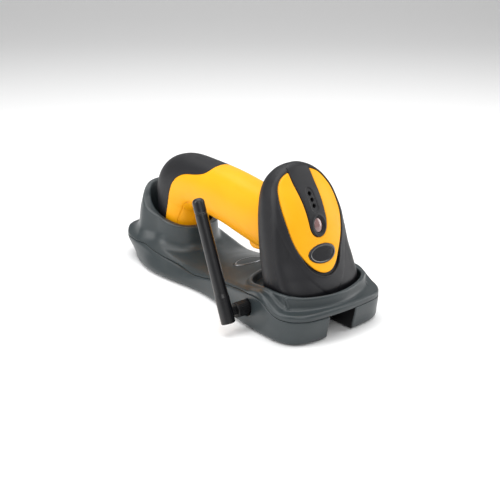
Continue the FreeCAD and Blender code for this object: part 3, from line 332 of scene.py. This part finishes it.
def cover_f(x, y, z):
    f = np.maximum(hull(x, y, z), -cavity(x, y, z))
    cup, rear = CUP(x, y), REAR(x, y)
    # outer face of the front cup, with the two upright corners where the rim's collar ends
    corner = np.exp(-((x - 88.5) / 1.5) ** 2) * (np.abs(y) > 24) * 0.9
    front = smax(np.maximum(cup - 2.5 - corner - 1.6 * step01((29 - z) / 9), 18 - z), z - RIM(x), 1.3)
    back = smax(np.maximum(rear - 2.6 - (FLARE(z) - 2.6) * (0.25 + 0.75 * step01((-60 - x) / 14)) - SPREAD(z) * step01((-78 - x) / 20), 20 - z), z - REARRIM(x), 1.5)
    along = np.interp(z, [20.5, 31], [90.6, 86.6])
    rib = np.abs(np.hypot(x - along, 0) - 0.0) - 0.9
    front = smin(front, np.maximum(np.maximum(rib, cup - 4.1), np.maximum(np.maximum(18 - z, z - 30.6), 22 - np.abs(y))), 0.9)
    f = smin(f, front, 2.4)
    f = smin(f, back, 6.5)
    f = smax(f, -smax(cup + 0.5 * step01((27 - z) / 7), 20 - z, 1.5), 1.1)
    f = smax(f, -smax(rear + np.interp(z, [22, 30, 68], [3.5, 2.0, 0.0]), 22 - z, 1.5), 1.1)
    for cx, cy in BOSSES:
        f = np.minimum(f, np.maximum(cyl_z(x, y, z, cx, cy, 3.0, 11.1, 16.2 if cx < 0 else 19), -cyl_z(x, y, z, cx, cy, 1.06, 9, 15.2)))
        f = np.maximum(f, -cyl_z(x, y, z, cx, cy, 1.06, 9, 15.2))
    f = smax(f, PART(x) + 0.14 - z, 0.7)
    # floor and lower wall of the front cup, which hang below the parting line
    tub = np.maximum(np.maximum(cup - 2.2, 18.05 - z), z - PART(x) - 0.5)
    f = np.minimum(f, np.maximum(tub, -np.maximum(cup + 0.3, 20 - z)))
    f = np.maximum(f, -boxf(x, y, z, (-88.06, -12.06, 15), (-71.94, 12.06, 30)))
    rho = (np.hypot((x - 3.5) / 6.5, y / 13.0) - 1) * 6.5
    return np.maximum(f, -np.maximum(rho - 0.12, deck(x, y) - 0.75 - z))


def base_f(x, y, z):
    y0, y1 = -14.0, 9.0
    outer = np.maximum(hull(x, y, z), z - PART(x) + 0.14)
    f = smax(hull(x, y, z), z - PART(x) + 0.14, 0.7)
    f = np.maximum(f, -cavity(x, y, z))
    f = np.minimum(f, np.maximum(outer + 0.02, boxf(x, y, z, (82, y0 - 2, 0.8), (110, y1 + 2, 18))))
    for cx, cy in BOSSES:
        f = np.minimum(f, cyl_z(x, y, z, cx, cy, 3.4, 2.0, 11.0))
    for sx in (-1, 1):
        for sy in (-1, 1):
            f = np.minimum(f, cyl_z(x, y, z, 10 + 62 * sx, 16 * sy, 2.2, 2.0, 4.18))
            f = np.minimum(f, cyl_z(x, y, z, 10 + 62 * sx, 16 * sy, 0.9, 2.0, 6.2))
    f = smax(f, -boxf(x, y, z, (84, y0, -3), (114, y1, 22)), 1.0)
    f = np.maximum(f, -boxf(x, y, z, (78, -10.3, 5.7), (86, 5.3, 17.5)))
    for cx, cy in BOSSES:
        f = np.maximum(f, -cyl_z(x, y, z, cx, cy, 1.4, -2, 20))
        f = np.maximum(f, -cyl_z(x, y, z, cx, cy, 2.65, -2, 4.02))
    for cx, cy in FEET:
        f = np.maximum(f, -cyl_z(x, y, z, cx, cy, 5.12, -2, 2.42))
    f = np.maximum(f, -boxf(x, y, z, (28, -30, 19.9), (64, 30, 28)))
    r = np.hypot(x - 53, z - 14.6)
    f = np.maximum(f, -np.maximum(r - 5.2, np.abs(y + 37.2) - 1.2))
    f = np.maximum(f, -np.maximum(r - 3.2, y + 30))
    return np.maximum(f, -np.maximum(r - 6.1, y + 41.2))


cover = net("cradle_cover_skin", cover_f, (-127, -47, 9), (107.2, 47, 61.6), 0.62)
base = net("cradle_base_skin", base_f, (-127, -47, 0.8), (107.2, 47, 26.6), 0.62)


# ------------------------------------------------------------------ scanner head
HEAD = [(18, 44, 76, 91.5, 33.0), (29, 43, 78, 93, 34.0), (40, 41.5, 74, 87.8, 34.2), (52, 39.6, 69.5, 82.3, 33.4),
        (64, 37.8, 66.5, 79.4, 32.4), (74, 36.2, 64, 77.0, 31.0), (83, 35.5, 61, 73, 29.0), (91, 36.2, 58, 67.8, 26.8),
        (98, 38, 55, 62, 23.0), (104.4, 41.6, 53, 57.5, 16.0), (108.8, 47, 51.5, 54.5, 7.5)]
HZ = [r[0] for r in HEAD]
HR, HC, HF, HW = [table(HZ, [r[k] for r in HEAD], 900) for k in (1, 2, 3, 4)]


def head_raw(x, y, z):
    c = HC(z)
    ahead = x > c
    a = np.where(ahead, HF(z) - c, c - HR(z))
    n = np.where(ahead, 2.3, 2.6)
    w = HW(z)
    rho = (np.abs((x - c) / a) ** n + np.abs(y / w) ** n + 1e-9) ** (1 / n)
    return (rho - 1) * np.minimum(a, w)


head_unit = unit(head_raw)


def head_f(x, y, z):
    return smax(head_unit(x, y, z), z - 108.9, 2.5)


EGGP = [(0, 39.6), (5, 40.6), (9.5, 43.4), (14.5, 48.7), (19.0, 55.6), (22.0, 63), (23.8, 71), (24.5, 79), (24.1, 87.2), (22.2, 94.3), (17.9, 100.4), (10.4, 104.4), (0, 105.6)]
TONP = [(0, 63.2), (3.6, 64.1), (6.4, 67.2), (7.6, 72), (8.0, 80), (8.6, 90), (9.2, 99), (9.2, 106), (8, 112), (0, 114)]
CREP = [(0, 26), (7.5, 30.5), (11.9, 34.6), (16, 39.5), (19.9, 45.7), (22.9, 52.4), (25.5, 59.8), (27.7, 66.4), (28.9, 73.8), (28.1, 82.1), (26.4, 89.1), (23, 95.9), (17.5, 102.2), (11.3, 105.8), (0, 109)]


def two_sided(half):
    return half + [(-y, z) for y, z in reversed(half[1:-1])]


EGG, TON, CRE = plan(ring(two_sided(EGGP)), 0.4), plan(ring(two_sided(TONP)), 0.4), plan(ring(two_sided(CREP)), 0.4)

# handle: nearest place on its centre line, in the XZ plane
GRIP = [(44, 61.5, 22.6, 18.0), (30, 62.3, 22.2, 17.9), (15, 63.6, 21.6, 17.8), (-10, 67.2, 20.9, 17.8), (-35, 69.4, 20.3, 18.0), (-55, 69.4, 20.9, 18.6),
        (-68, 66.4, 23.6, 19.3), (-76.5, 60.0, 24.4, 19.7), (-79.0, 49.5, 21.2, 19.5), (-79.6, 38, 19.9, 19.0), (-80, 26.3, 19.3, 18.4)]


def smooth_line(rows, n=500):
    R = np.array(rows, float)
    t = np.concatenate([[0], np.cumsum(np.hypot(*np.diff(R[:, :2], axis=0).T))])
    k, h = len(t), np.diff(t)
    A, B = np.zeros((k, k)), np.zeros((k, R.shape[1]))
    A[0, 0], A[0, 1], A[-1, -1], A[-1, -2] = 2, 1, 2, 1
    B[0], B[-1] = 3 * (R[1] - R[0]) / h[0], 3 * (R[-1] - R[-2]) / h[-1]
    for i in range(1, k - 1):
        A[i, i - 1], A[i, i], A[i, i + 1] = h[i], 2 * (h[i - 1] + h[i]), h[i - 1]
        B[i] = 3 * (h[i] * (R[i] - R[i - 1]) / h[i - 1] + h[i - 1] * (R[i + 1] - R[i]) / h[i])
    M = np.linalg.solve(A, B)
    s = np.linspace(0, t[-1], n)
    i = np.clip(np.searchsorted(t, s, "right") - 1, 0, k - 2)
    u, hh = ((s - t[i]) / h[i])[:, None], h[i][:, None]
    return (1 + 2 * u) * (1 - u) ** 2 * R[i] + u * (1 - u) ** 2 * hh * M[i] + u * u * (3 - 2 * u) * R[i + 1] + u * u * (u - 1) * hh * M[i + 1]


line = smooth_line(GRIP)
tan = np.gradient(line[:, :2], axis=0)
tan /= np.linalg.norm(tan, axis=1)[:, None]
gx, gz = np.arange(-112, 56, 0.5), np.arange(16, 102, 0.5)
X2, Z2 = np.meshgrid(gx, gz, indexing="ij")
U2, D2, W2 = np.zeros(X2.shape), np.zeros(X2.shape), np.zeros(X2.shape)
for a in range(0, X2.shape[0], 24):
    dx = X2[a:a + 24, :, None] - line[None, None, :, 0]
    dz = Z2[a:a + 24, :, None] - line[None, None, :, 1]
    k = (dx * dx + dz * dz).argmin(2)
    ddx = np.take_along_axis(dx, k[..., None], 2)[..., 0]
    ddz = np.take_along_axis(dz, k[..., None], 2)[..., 0]
    U2[a:a + 24] = ddx * tan[k, 1] - ddz * tan[k, 0]
    D2[a:a + 24], W2[a:a + 24] = line[k, 2], line[k, 3]
gU, gD, gW = [sampler(q, (gx[0], gz[0]), 0.5) for q in (U2, D2, W2)]


def grip_raw(x, y, z):
    d, w = gD(x, z), gW(x, z)
    rho = (np.abs(gU(x, z) / d) ** 2.25 + np.abs(y / w) ** 2.25 + 1e-9) ** (1 / 2.25)
    return (rho - 1) * np.minimum(d, w)


grip_unit = unit(grip_raw)


def grip_f(x, y, z):
    return smax(smax(grip_unit(x, y, z), 26.3 - z, 3.0), x - 43.6, 0.6)


SEAMP = [(60, 49.0), (44, 49.3), (30, 50.3), (15, 52.2), (-10, 56.0), (-35, 58.6), (-50, 58.0), (-59, 53.5), (-64.5, 45), (-67, 36), (-68, 20)]
BLACKP = [(-26, 98), (-28.5, 90), (-30.5, 86), (-36, 83), (-45, 81), (-55, 79), (-62, 75.5), (-68, 69), (-71.5, 61), (-74, 52), (-77.5, 40), (-80, 18)]


def open_line(pts):
    return [tuple(p) for p in smooth_line([(x, z) for x, z in pts], 160)]


UNDER = plan(np.array(open_line(SEAMP) + [(-68, 0), (60, 0)]), 0.4, 40)       # negative below the seam
BLK = plan(np.array(open_line(BLACKP) + [(-80, 0), (-150, 0), (-150, 120), (-26, 120)]), 0.4, 10)


def boot_f(x, y, z):
    H = head_f(x, y, z)
    egg, ton, cre = EGG(y, z), TON(y, z), CRE(y, z)
    ahead = step01((x - HC(z) + 9) / 9)
    fold = 0.42 * np.exp(-np.maximum(cre, 0) / 9) * step01(cre / 1.8 + 0.5) * ahead      # step at the crease
    lip = -0.3 * np.exp(-((egg - 1.3) / 0.9) ** 2) * ahead * step01((104 - z) / 6)            # raised edge round the panel
    f = np.maximum(H + fold + lip, -(H + 1.6))
    ring_ = np.where(x > 54, np.minimum(egg, ton), 9.0)
    f = smax(f, -ring_ - 0.0, 0.5)
    f = np.maximum(f, -(grip_unit(x, y, z)) + 0.0)
    return smax(f, 20.5 - z, 1.0)


def panel_f(x, y, z):
    H = head_f(x, y, z)
    f = np.maximum(smax(H + 0.1, EGG(y, z) + 0.28, 1.0), -(H + 1.6))
    f = smax(f, -(TON(y, z) - 0.1), 0.7)
    rho = (np.hypot(y / 12.0, (z - 52.4) / 6.2) - 1) * 6.2
    f = np.maximum(f, -np.maximum(rho, -(H + 0.62)))
    return np.maximum(f, 54.05 - x)


def strip_f(x, y, z):
    H = head_f(x, y, z)
    top = step01((z - 97) / 8)
    ton = TON(y, z)
    led = np.hypot(y / 4.9, (z - 70.9) / 6.1)
    pill = np.hypot(y, np.maximum(np.abs(z - 86.9) - 4.4, 0)) - 3.0
    dish = 0.75 * (1 - step01((led - 0.93) / 0.16)) + 0.55 * (1 - step01((pill + 0.35) / 0.7))
    rise = 0.22 * np.exp(-((led - 1.16) / 0.12) ** 2)
    f = smax(H - 0.5 * (1 - top) + dish - rise * (1 - top), ton + 0.08, 1.1 * (1 - top) + 0.12)
    f = np.maximum(f, -(H + 1.6))
    for hz in (90.6, 86.9, 83.2):
        f = smax(f, -np.maximum(np.hypot(y, z - hz) - 1.35, 54 - x), 0.35)
    f = smax(f, -np.maximum((np.hypot(y / 3.6, (z - 70.9) / 4.8) - 1) * 3.6 - 0.08, 66 - x), 0.3)
    return np.maximum(f, 54.05 - x)


def lens_f(x, y, z):
    q = np.hypot(y / 3.6, (z - 70.9) / 4.8)
    return smax(smax(head_f(x, y, z) - 0.25 + 0.9 * q * q, (q - 1) * 3.6, 0.5), 73.1 - x, 0.3)


def badge_f(x, y, z):
    H = head_f(x, y, z)
    q = np.hypot(y / 12.0, (z - 52.4) / 6.2)
    edge = (q - 1) * 6.2
    f = smax(H - 0.45 + 0.22 * (1 - step01((q - 0.80) / 0.07)), edge + 0.06, 0.5)
    return np.maximum(np.maximum(f, -(H + 0.6)), 60 - x)


boot = net("head_boot_skin", boot_f, (34, -35, 20), (94, 35, 109.4), 0.46)
panel = net("head_panel_skin", panel_f, (54, -24, 39), (86, 24, 106), 0.45)
strip = net("spine_strip_skin", strip_f, (54, -10, 62), (82, 10, 109.4), 0.36)
lens = net("status_lens_skin", lens_f, (73, -4, 66), (80, 4, 76), 0.22)
badge = net("head_badge_skin", badge_f, (60, -12.5, 46), (88, 12.5, 59), 0.3)


# ------------------------------------------------------------------ handle and trigger
RIBX = (-26.0, -50.0)


def shell_core(x, y, z):
    g = grip_f(x, y, z)
    return g, grip_unit(x, y, z)


def upper_f(x, y, z):
    g, raw = shell_core(x, y, z)
    f = np.maximum(g, -(raw + 2.2))
    black, under = BLK(x, z), UNDER(x, z)
    f = np.maximum(f, -np.maximum(black - 0.1, -(raw + 1.25)))
    for rx in RIBX:
        f = np.minimum(f, np.maximum(boxf(x, y, z, (rx - 3, -20, 58.6), (rx + 3, 20, 63.5)), raw + 1.3))
        f = np.maximum(f, -cyl_z(x, y, z, rx, 0, 1.06, 55, 75))
    f = smax(f, -(under - 0.03), 0.12)
    return np.maximum(f, -boxf(x, y, z, (31.9, -12.5, 40), (38.1, 12.5, 56)))


def lower_f(x, y, z):
    g, raw = shell_core(x, y, z)
    under = UNDER(x, z)
    f = np.maximum(g, -(raw + 2.2))
    for rx in RIBX:
        f = np.minimum(f, np.maximum(cyl_z(x, y, z, rx, 0, 3.2, 44, 58.5), raw + 0.3))
    f = smax(f, under + 0.03, 0.12)
    for rx in RIBX:
        f = np.maximum(f, -cyl_z(x, y, z, rx, 0, 1.35, 38, 70))
        f = np.maximum(f, -cyl_z(x, y, z, rx, 0, 2.6, 38, 54.02))
    f = smax(f, -boxf(x, y, z, (11.2, -9.2, 34), (38.8, 9.2, 47.5)), 0.5)
    for s in (-1, 1):
        f = np.minimum(f, np.maximum(boxf(x, y, z, (32, min(s * 9.3, s * 12.4), 44), (38, max(s * 9.3, s * 12.4), 55.9)), raw + 1.25))
    r = np.hypot(x - 35, z - 53.3)
    return np.maximum(f, -np.maximum(r - 1.02, np.abs(y) - 12.05))


def skin_f(x, y, z):
    g, raw = shell_core(x, y, z)
    return np.maximum(smax(g, BLK(x, z) + 0.05, 0.8), -(raw + 1.2))


TRIGP = [(13.4, 45.5), (13.6, 42.0), (15.6, 39.6), (19, 38.8), (25, 39.6), (32, 41.8), (36.4, 44.6), (37.6, 48), (37.5, 53.3), (35, 55.8),
         (32.5, 53.3), (31.6, 50.6), (24, 49.6), (15.5, 50.3), (13.6, 48.6)]
TRIG = plan(ring(TRIGP), 0.25, 6)


def trigger_f(x, y, z):
    hollow = 0.5 * np.exp(-((y / 6.0) ** 2)) * step01((44 - z) / 3)
    f = smax(TRIG(x, z) + hollow, np.abs(y) - 8.6, 2.0)
    f = smin(f, cyl_z(x, y, z, 17.5, 0, 2.1, 48.1, 51.1), 0.3)
    return np.maximum(f, -(np.hypot(x - 35, z - 53.3) - 1.05))


def plate_f(x, y, z):
    q = np.hypot((x - 3.5) / 6.5, y / 13.0)
    d = deck(x, y)
    f = smax((q - 1) * 6.5, z - d - 0.35 + 0.2 * (1 - step01((q - 0.8) / 0.06)), 0.3)
    return np.maximum(f, d - 0.7 - z)


upper = net("handle_upper_skin", upper_f, (-104, -20.5, 26), (44, 20.5, 93), 0.55)
lower = net("handle_lower_skin", lower_f, (-72, -20.5, 26), (44, 20.5, 60), 0.5)
skin = net("grip_overmould_skin", skin_f, (-104, -20.5, 26), (-25, 20.5, 93), 0.5)
trig = net("trigger_skin", trigger_f, (12.5, -9, 38), (38.5, 9, 56.5), 0.35)
plate = net("deck_badge_skin", plate_f, (-4, -14, 16), (11, 14, 26), 0.28)


# ------------------------------------------------------------------ finishes
def finish(name, color, rough=0.4, vary=0.06, grain=0.35, bump=0.12, depth=0.02, wear=0.0, wear_color=None, metal=0.0, coat=0.0, spec=0.5,
           emit=None, tint=None, rough_vary=0.06):
    """Procedural finish. grain is the size of the surface's texture in millimetres and bump its strength."""
    m = bpy.data.materials.new(name)
    m.use_nodes = True
    nt = m.node_tree
    N, L = nt.nodes, nt.links
    b = N["Principled BSDF"]
    b.inputs["Metallic"].default_value = metal
    b.inputs["Specular IOR Level"].default_value = spec
    if coat:
        b.inputs["Coat Weight"].default_value = coat
        b.inputs["Coat Roughness"].default_value = 0.12
    at = N.new("ShaderNodeTexCoord")
    big = N.new("ShaderNodeTexNoise")
    big.inputs["Scale"].default_value = 38
    big.inputs["Detail"].default_value = 4
    L.new(at.outputs["Object"], big.inputs["Vector"])
    ramp = N.new("ShaderNodeValToRGB")
    lo = [c * (1 - vary) for c in color]
    hi = [min(1, c * (1 + vary) + 0.001) for c in (tint or color)]
    ramp.color_ramp.elements[0].position, ramp.color_ramp.elements[1].position = 0.3, 0.7
    ramp.color_ramp.elements[0].color, ramp.color_ramp.elements[1].color = (*lo, 1), (*hi, 1)
    L.new(big.outputs["Fac"], ramp.inputs["Fac"])
    last = ramp.outputs["Color"]
    if wear:
        geo = N.new("ShaderNodeNewGeometry")
        edge = N.new("ShaderNodeMapRange")
        edge.inputs["From Min"].default_value, edge.inputs["From Max"].default_value = 0.53, 0.62
        edge.inputs["To Max"].default_value = wear
        L.new(geo.outputs["Pointiness"], edge.inputs["Value"])
        mix = N.new("ShaderNodeMix")
        mix.data_type = "RGBA"
        L.new(edge.outputs["Result"], mix.inputs["Factor"])
        L.new(last, mix.inputs["A"])
        mix.inputs["B"].default_value = (*(wear_color or [min(1, c * 1.7 + 0.02) for c in color]), 1)
        last = mix.outputs["Result"]
    L.new(last, b.inputs["Base Color"])
    mid = N.new("ShaderNodeTexNoise")
    mid.inputs["Scale"].default_value = 160
    mid.inputs["Detail"].default_value = 5
    L.new(at.outputs["Object"], mid.inputs["Vector"])
    rr = N.new("ShaderNodeMapRange")
    rr.inputs["To Min"].default_value, rr.inputs["To Max"].default_value = rough - rough_vary, rough + rough_vary
    L.new(mid.outputs["Fac"], rr.inputs["Value"])
    L.new(rr.outputs["Result"], b.inputs["Roughness"])
    fine = N.new("ShaderNodeTexNoise")
    fine.inputs["Scale"].default_value = 1000 / grain
    fine.inputs["Detail"].default_value = 3
    L.new(at.outputs["Object"], fine.inputs["Vector"])
    bp = N.new("ShaderNodeBump")
    bp.inputs["Strength"].default_value = bump
    bp.inputs["Distance"].default_value = depth / 1000
    L.new(fine.outputs["Fac"], bp.inputs["Height"])
    L.new(bp.outputs["Normal"], b.inputs["Normal"])
    return m


M = {
    "cradle_plastic": finish("cradle_plastic", (0.0255, 0.0340, 0.0370), 0.36, 0.06, 0.35, 0.28, 0.03, wear=0.16, wear_color=(0.075, 0.088, 0.092)),
    "badge_silver": finish("badge_silver", (0.30, 0.31, 0.32), 0.32, 0.05, 0.2, 0.1, 0.01, metal=0.8),
    "circuit_board": finish("circuit_board", (0.015, 0.13, 0.05), 0.35, 0.15, 1.2, 0.25, 0.05),
    "black_plastic": finish("black_plastic", (0.005, 0.005, 0.006), 0.45, 0.12, 0.4, 0.25, 0.03, wear=0.1, spec=0.3),
    "contact_gold": finish("contact_gold", (0.83, 0.60, 0.22), 0.25, 0.04, 0.2, 0.1, 0.01, metal=1.0),
    "spring_steel": finish("spring_steel", (0.55, 0.55, 0.56), 0.28, 0.05, 0.2, 0.15, 0.01, metal=1.0),
    "black_rubber": finish("black_rubber", (0.0050, 0.0050, 0.0070), 0.47, 0.10, 0.30, 0.40, 0.04, wear=0.10, wear_color=(0.03, 0.03, 0.034), spec=0.38),
    "antenna_rubber": finish("antenna_rubber", (0.0022, 0.0022, 0.0034), 0.30, 0.08, 0.5, 0.10, 0.02, wear=0.06),
    "yellow_plastic": finish("yellow_plastic", (0.92, 0.385, 0.001), 0.42, 0.025, 0.30, 0.22, 0.02, tint=(0.94, 0.402, 0.002), spec=0.25),
    "black_gloss": finish("black_gloss", (0.006, 0.006, 0.008), 0.12, 0.1, 0.8, 0.05, 0.01, coat=0.6, rough_vary=0.03),
    "badge_rim": finish("badge_rim", (0.035, 0.036, 0.04), 0.30, 0.08, 0.3, 0.08, 0.01, metal=0.5),
    # lens colour: object-coordinate noise mixes darker maroon with a much lighter pink tint; the lighter pink is a
    # painted highlight
    "lens_clear": finish("lens_clear", (0.13, 0.062, 0.06), 0.08, 0.35, 0.8, 0.04, 0.01, coat=1.0, tint=(0.27, 0.15, 0.145), rough_vary=0.03),
    "window_red": finish("window_red", (0.05, 0.002, 0.003), 0.07, 0.2, 0.8, 0.04, 0.01, coat=1.0, rough_vary=0.02),
    "engine_metal": finish("engine_metal", (0.42, 0.43, 0.45), 0.42, 0.06, 0.4, 0.3, 0.03, metal=0.9),
    "cell_can": finish("cell_can", (0.10, 0.18, 0.28), 0.35, 0.06, 0.4, 0.1, 0.02),
}
record = frame["record"]
slot_of = {s["node"]: s["material_slot"] for s in record["subparts"]}
for name, o in frame["nodes"].items():
    o.data.materials.clear()
    o.data.materials.append(M["black_plastic" if name == "head_housing" else slot_of[name]])


def settle(o, node, body):
    o.data.materials.clear()
    o.data.materials.append(M[slot_of[node]])
    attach(o, body)
    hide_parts(node)


for o, node, body in ((cover, "cradle_cover", "cradle"), (base, "cradle_base", "cradle"), (plate, "deck_badge", "cradle"),
                      (boot, "head_boot", "scanner"), (panel, "head_top_panel", "scanner"), (strip, "spine_strip", "scanner"),
                      (lens, "status_lens", "scanner"), (badge, "head_badge", "scanner"), (upper, "handle_upper_shell", "scanner"),
                      (lower, "handle_lower_shell", "scanner"), (skin, "grip_overmould", "scanner"), (trig, "trigger", "trigger")):
    settle(o, node, body)

# faces inside the moulded recess for the lead's plug get black plastic: painted shade, standing for the shadow that
# falls in the recess
base.data.materials.append(M["black_plastic"])
c = np.zeros(len(base.data.polygons) * 3, np.float32)
base.data.polygons.foreach_get("center", c)
c = c.reshape(-1, 3) * 1000.0 - np.array([OX, OY, 0])
inside = (c[:, 0] > 82) & (c[:, 1] > -14.4) & (c[:, 1] < 9.4) & (c[:, 2] < 17.5) & (sides(c[:, 0], c[:, 1], c[:, 2]) < -0.9)
base.data.polygons.foreach_set("material_index", inside.astype(np.int32))

# the badges carry a second finish: the head badge on its raised rim, the deck badge in its centre inside the raised rim
for o, second, test in ((badge, "badge_rim", lambda c: np.hypot((c[:, 1] - OY) / 12.0, (c[:, 2] - 52.4) / 6.2) > 0.93),
                        (plate, "cradle_plastic", lambda c: np.hypot((c[:, 0] - OX - 3.5) / 6.5, (c[:, 1] - OY) / 13.0) < 0.86)):
    o.data.materials.append(M[second])
    c = np.zeros(len(o.data.polygons) * 3, np.float32)
    o.data.polygons.foreach_get("center", c)
    o.data.polygons.foreach_set("material_index", test(c.reshape(-1, 3) * 1000.0).astype(np.int32))


# ------------------------------------------------------------------ floor, light, camera
def floor_material():
    m = bpy.data.materials.new("floor")
    m.use_nodes = True
    b = m.node_tree.nodes["Principled BSDF"]
    b.inputs["Base Color"].default_value = (0.95, 0.95, 0.95, 1)
    b.inputs["Roughness"].default_value = 0.7
    return m


me = bpy.data.meshes.new("floor")
rows = []
for k in range(25):                       # flat, then a large curve up behind
    t = k / 24
    a = max(0, (t - 0.5) * 2) * math.pi / 2
    rows.append((-4 + 5.2 * min(t * 2, 1) + 1.6 * math.sin(a), 1.6 * (1 - math.cos(a))))
verts, faces = [], []
back = Vector((-0.7772, 0.6293, 0))
side = Vector((0.6293, 0.7772, 0))
for r, z in rows:
    for s in (-6, 6):
        v = back * r + side * s
        verts.append((v.x, v.y, z))
for k in range(24):
    faces.append((2 * k, 2 * k + 1, 2 * k + 3, 2 * k + 2))
me.from_pydata(verts, [], faces)
me.polygons.foreach_set("use_smooth", np.ones(len(me.polygons), bool))
floor = bpy.data.objects.new("floor", me)
floor.data.materials.append(floor_material())
bpy.context.scene.collection.objects.link(floor)

TARGET = Vector(((4.499 + OX) / 1000, OY / 1000, 0.031375))
az, el = math.radians(51), math.radians(21)
view = Vector((math.sin(az) * math.cos(el), -math.cos(az) * math.cos(el), math.sin(el)))


def light(name, where, size, power, aim=TARGET, color=(1, 1, 1)):
    data = bpy.data.lights.new(name, "AREA")
    data.shape, data.size, data.size_y = "RECTANGLE", size[0], size[1]
    data.energy, data.color = power, color
    o = bpy.data.objects.new(name, data)
    bpy.context.scene.collection.objects.link(o)
    o.location = where
    o.rotation_euler = (Vector(aim) - Vector(where)).to_track_quat("-Z", "Y").to_euler()
    return o


right = Vector((math.cos(az), math.sin(az), 0))
light("top", TARGET + Vector((0, 0, 0.95)) - view * 0.15, (1.0, 1.0), 8.4)
light("left", TARGET - right * 0.75 + view * 0.35 + Vector((0, 0, 0.40)), (0.5, 0.8), 5.0)
light("front", TARGET + view * 0.95 + right * 0.25 + Vector((0, 0, 0.35)), (0.7, 0.5), 3.0)
light("right", TARGET + right * 0.8 - view * 0.1 + Vector((0, 0, 0.30)), (0.35, 0.8), 3.0)

world = bpy.data.worlds.new("studio")
bpy.context.scene.world = world
world.use_nodes = True
world.node_tree.nodes["Background"].inputs["Color"].default_value = (1, 1, 1, 1)
world.node_tree.nodes["Background"].inputs["Strength"].default_value = 0.42

bpy.context.scene.view_settings.view_transform = "Standard"

cam = bpy.data.cameras.new("camera")
cam.sensor_width = 36
cam.lens = 68.04
cam.clip_start, cam.clip_end = 0.01, 50
camera = bpy.data.objects.new("camera", cam)
bpy.context.scene.collection.objects.link(camera)
camera.location = TARGET + view * 0.7
camera.rotation_euler = view.to_track_quat("Z", "Y").to_euler()
bpy.context.scene.camera = camera
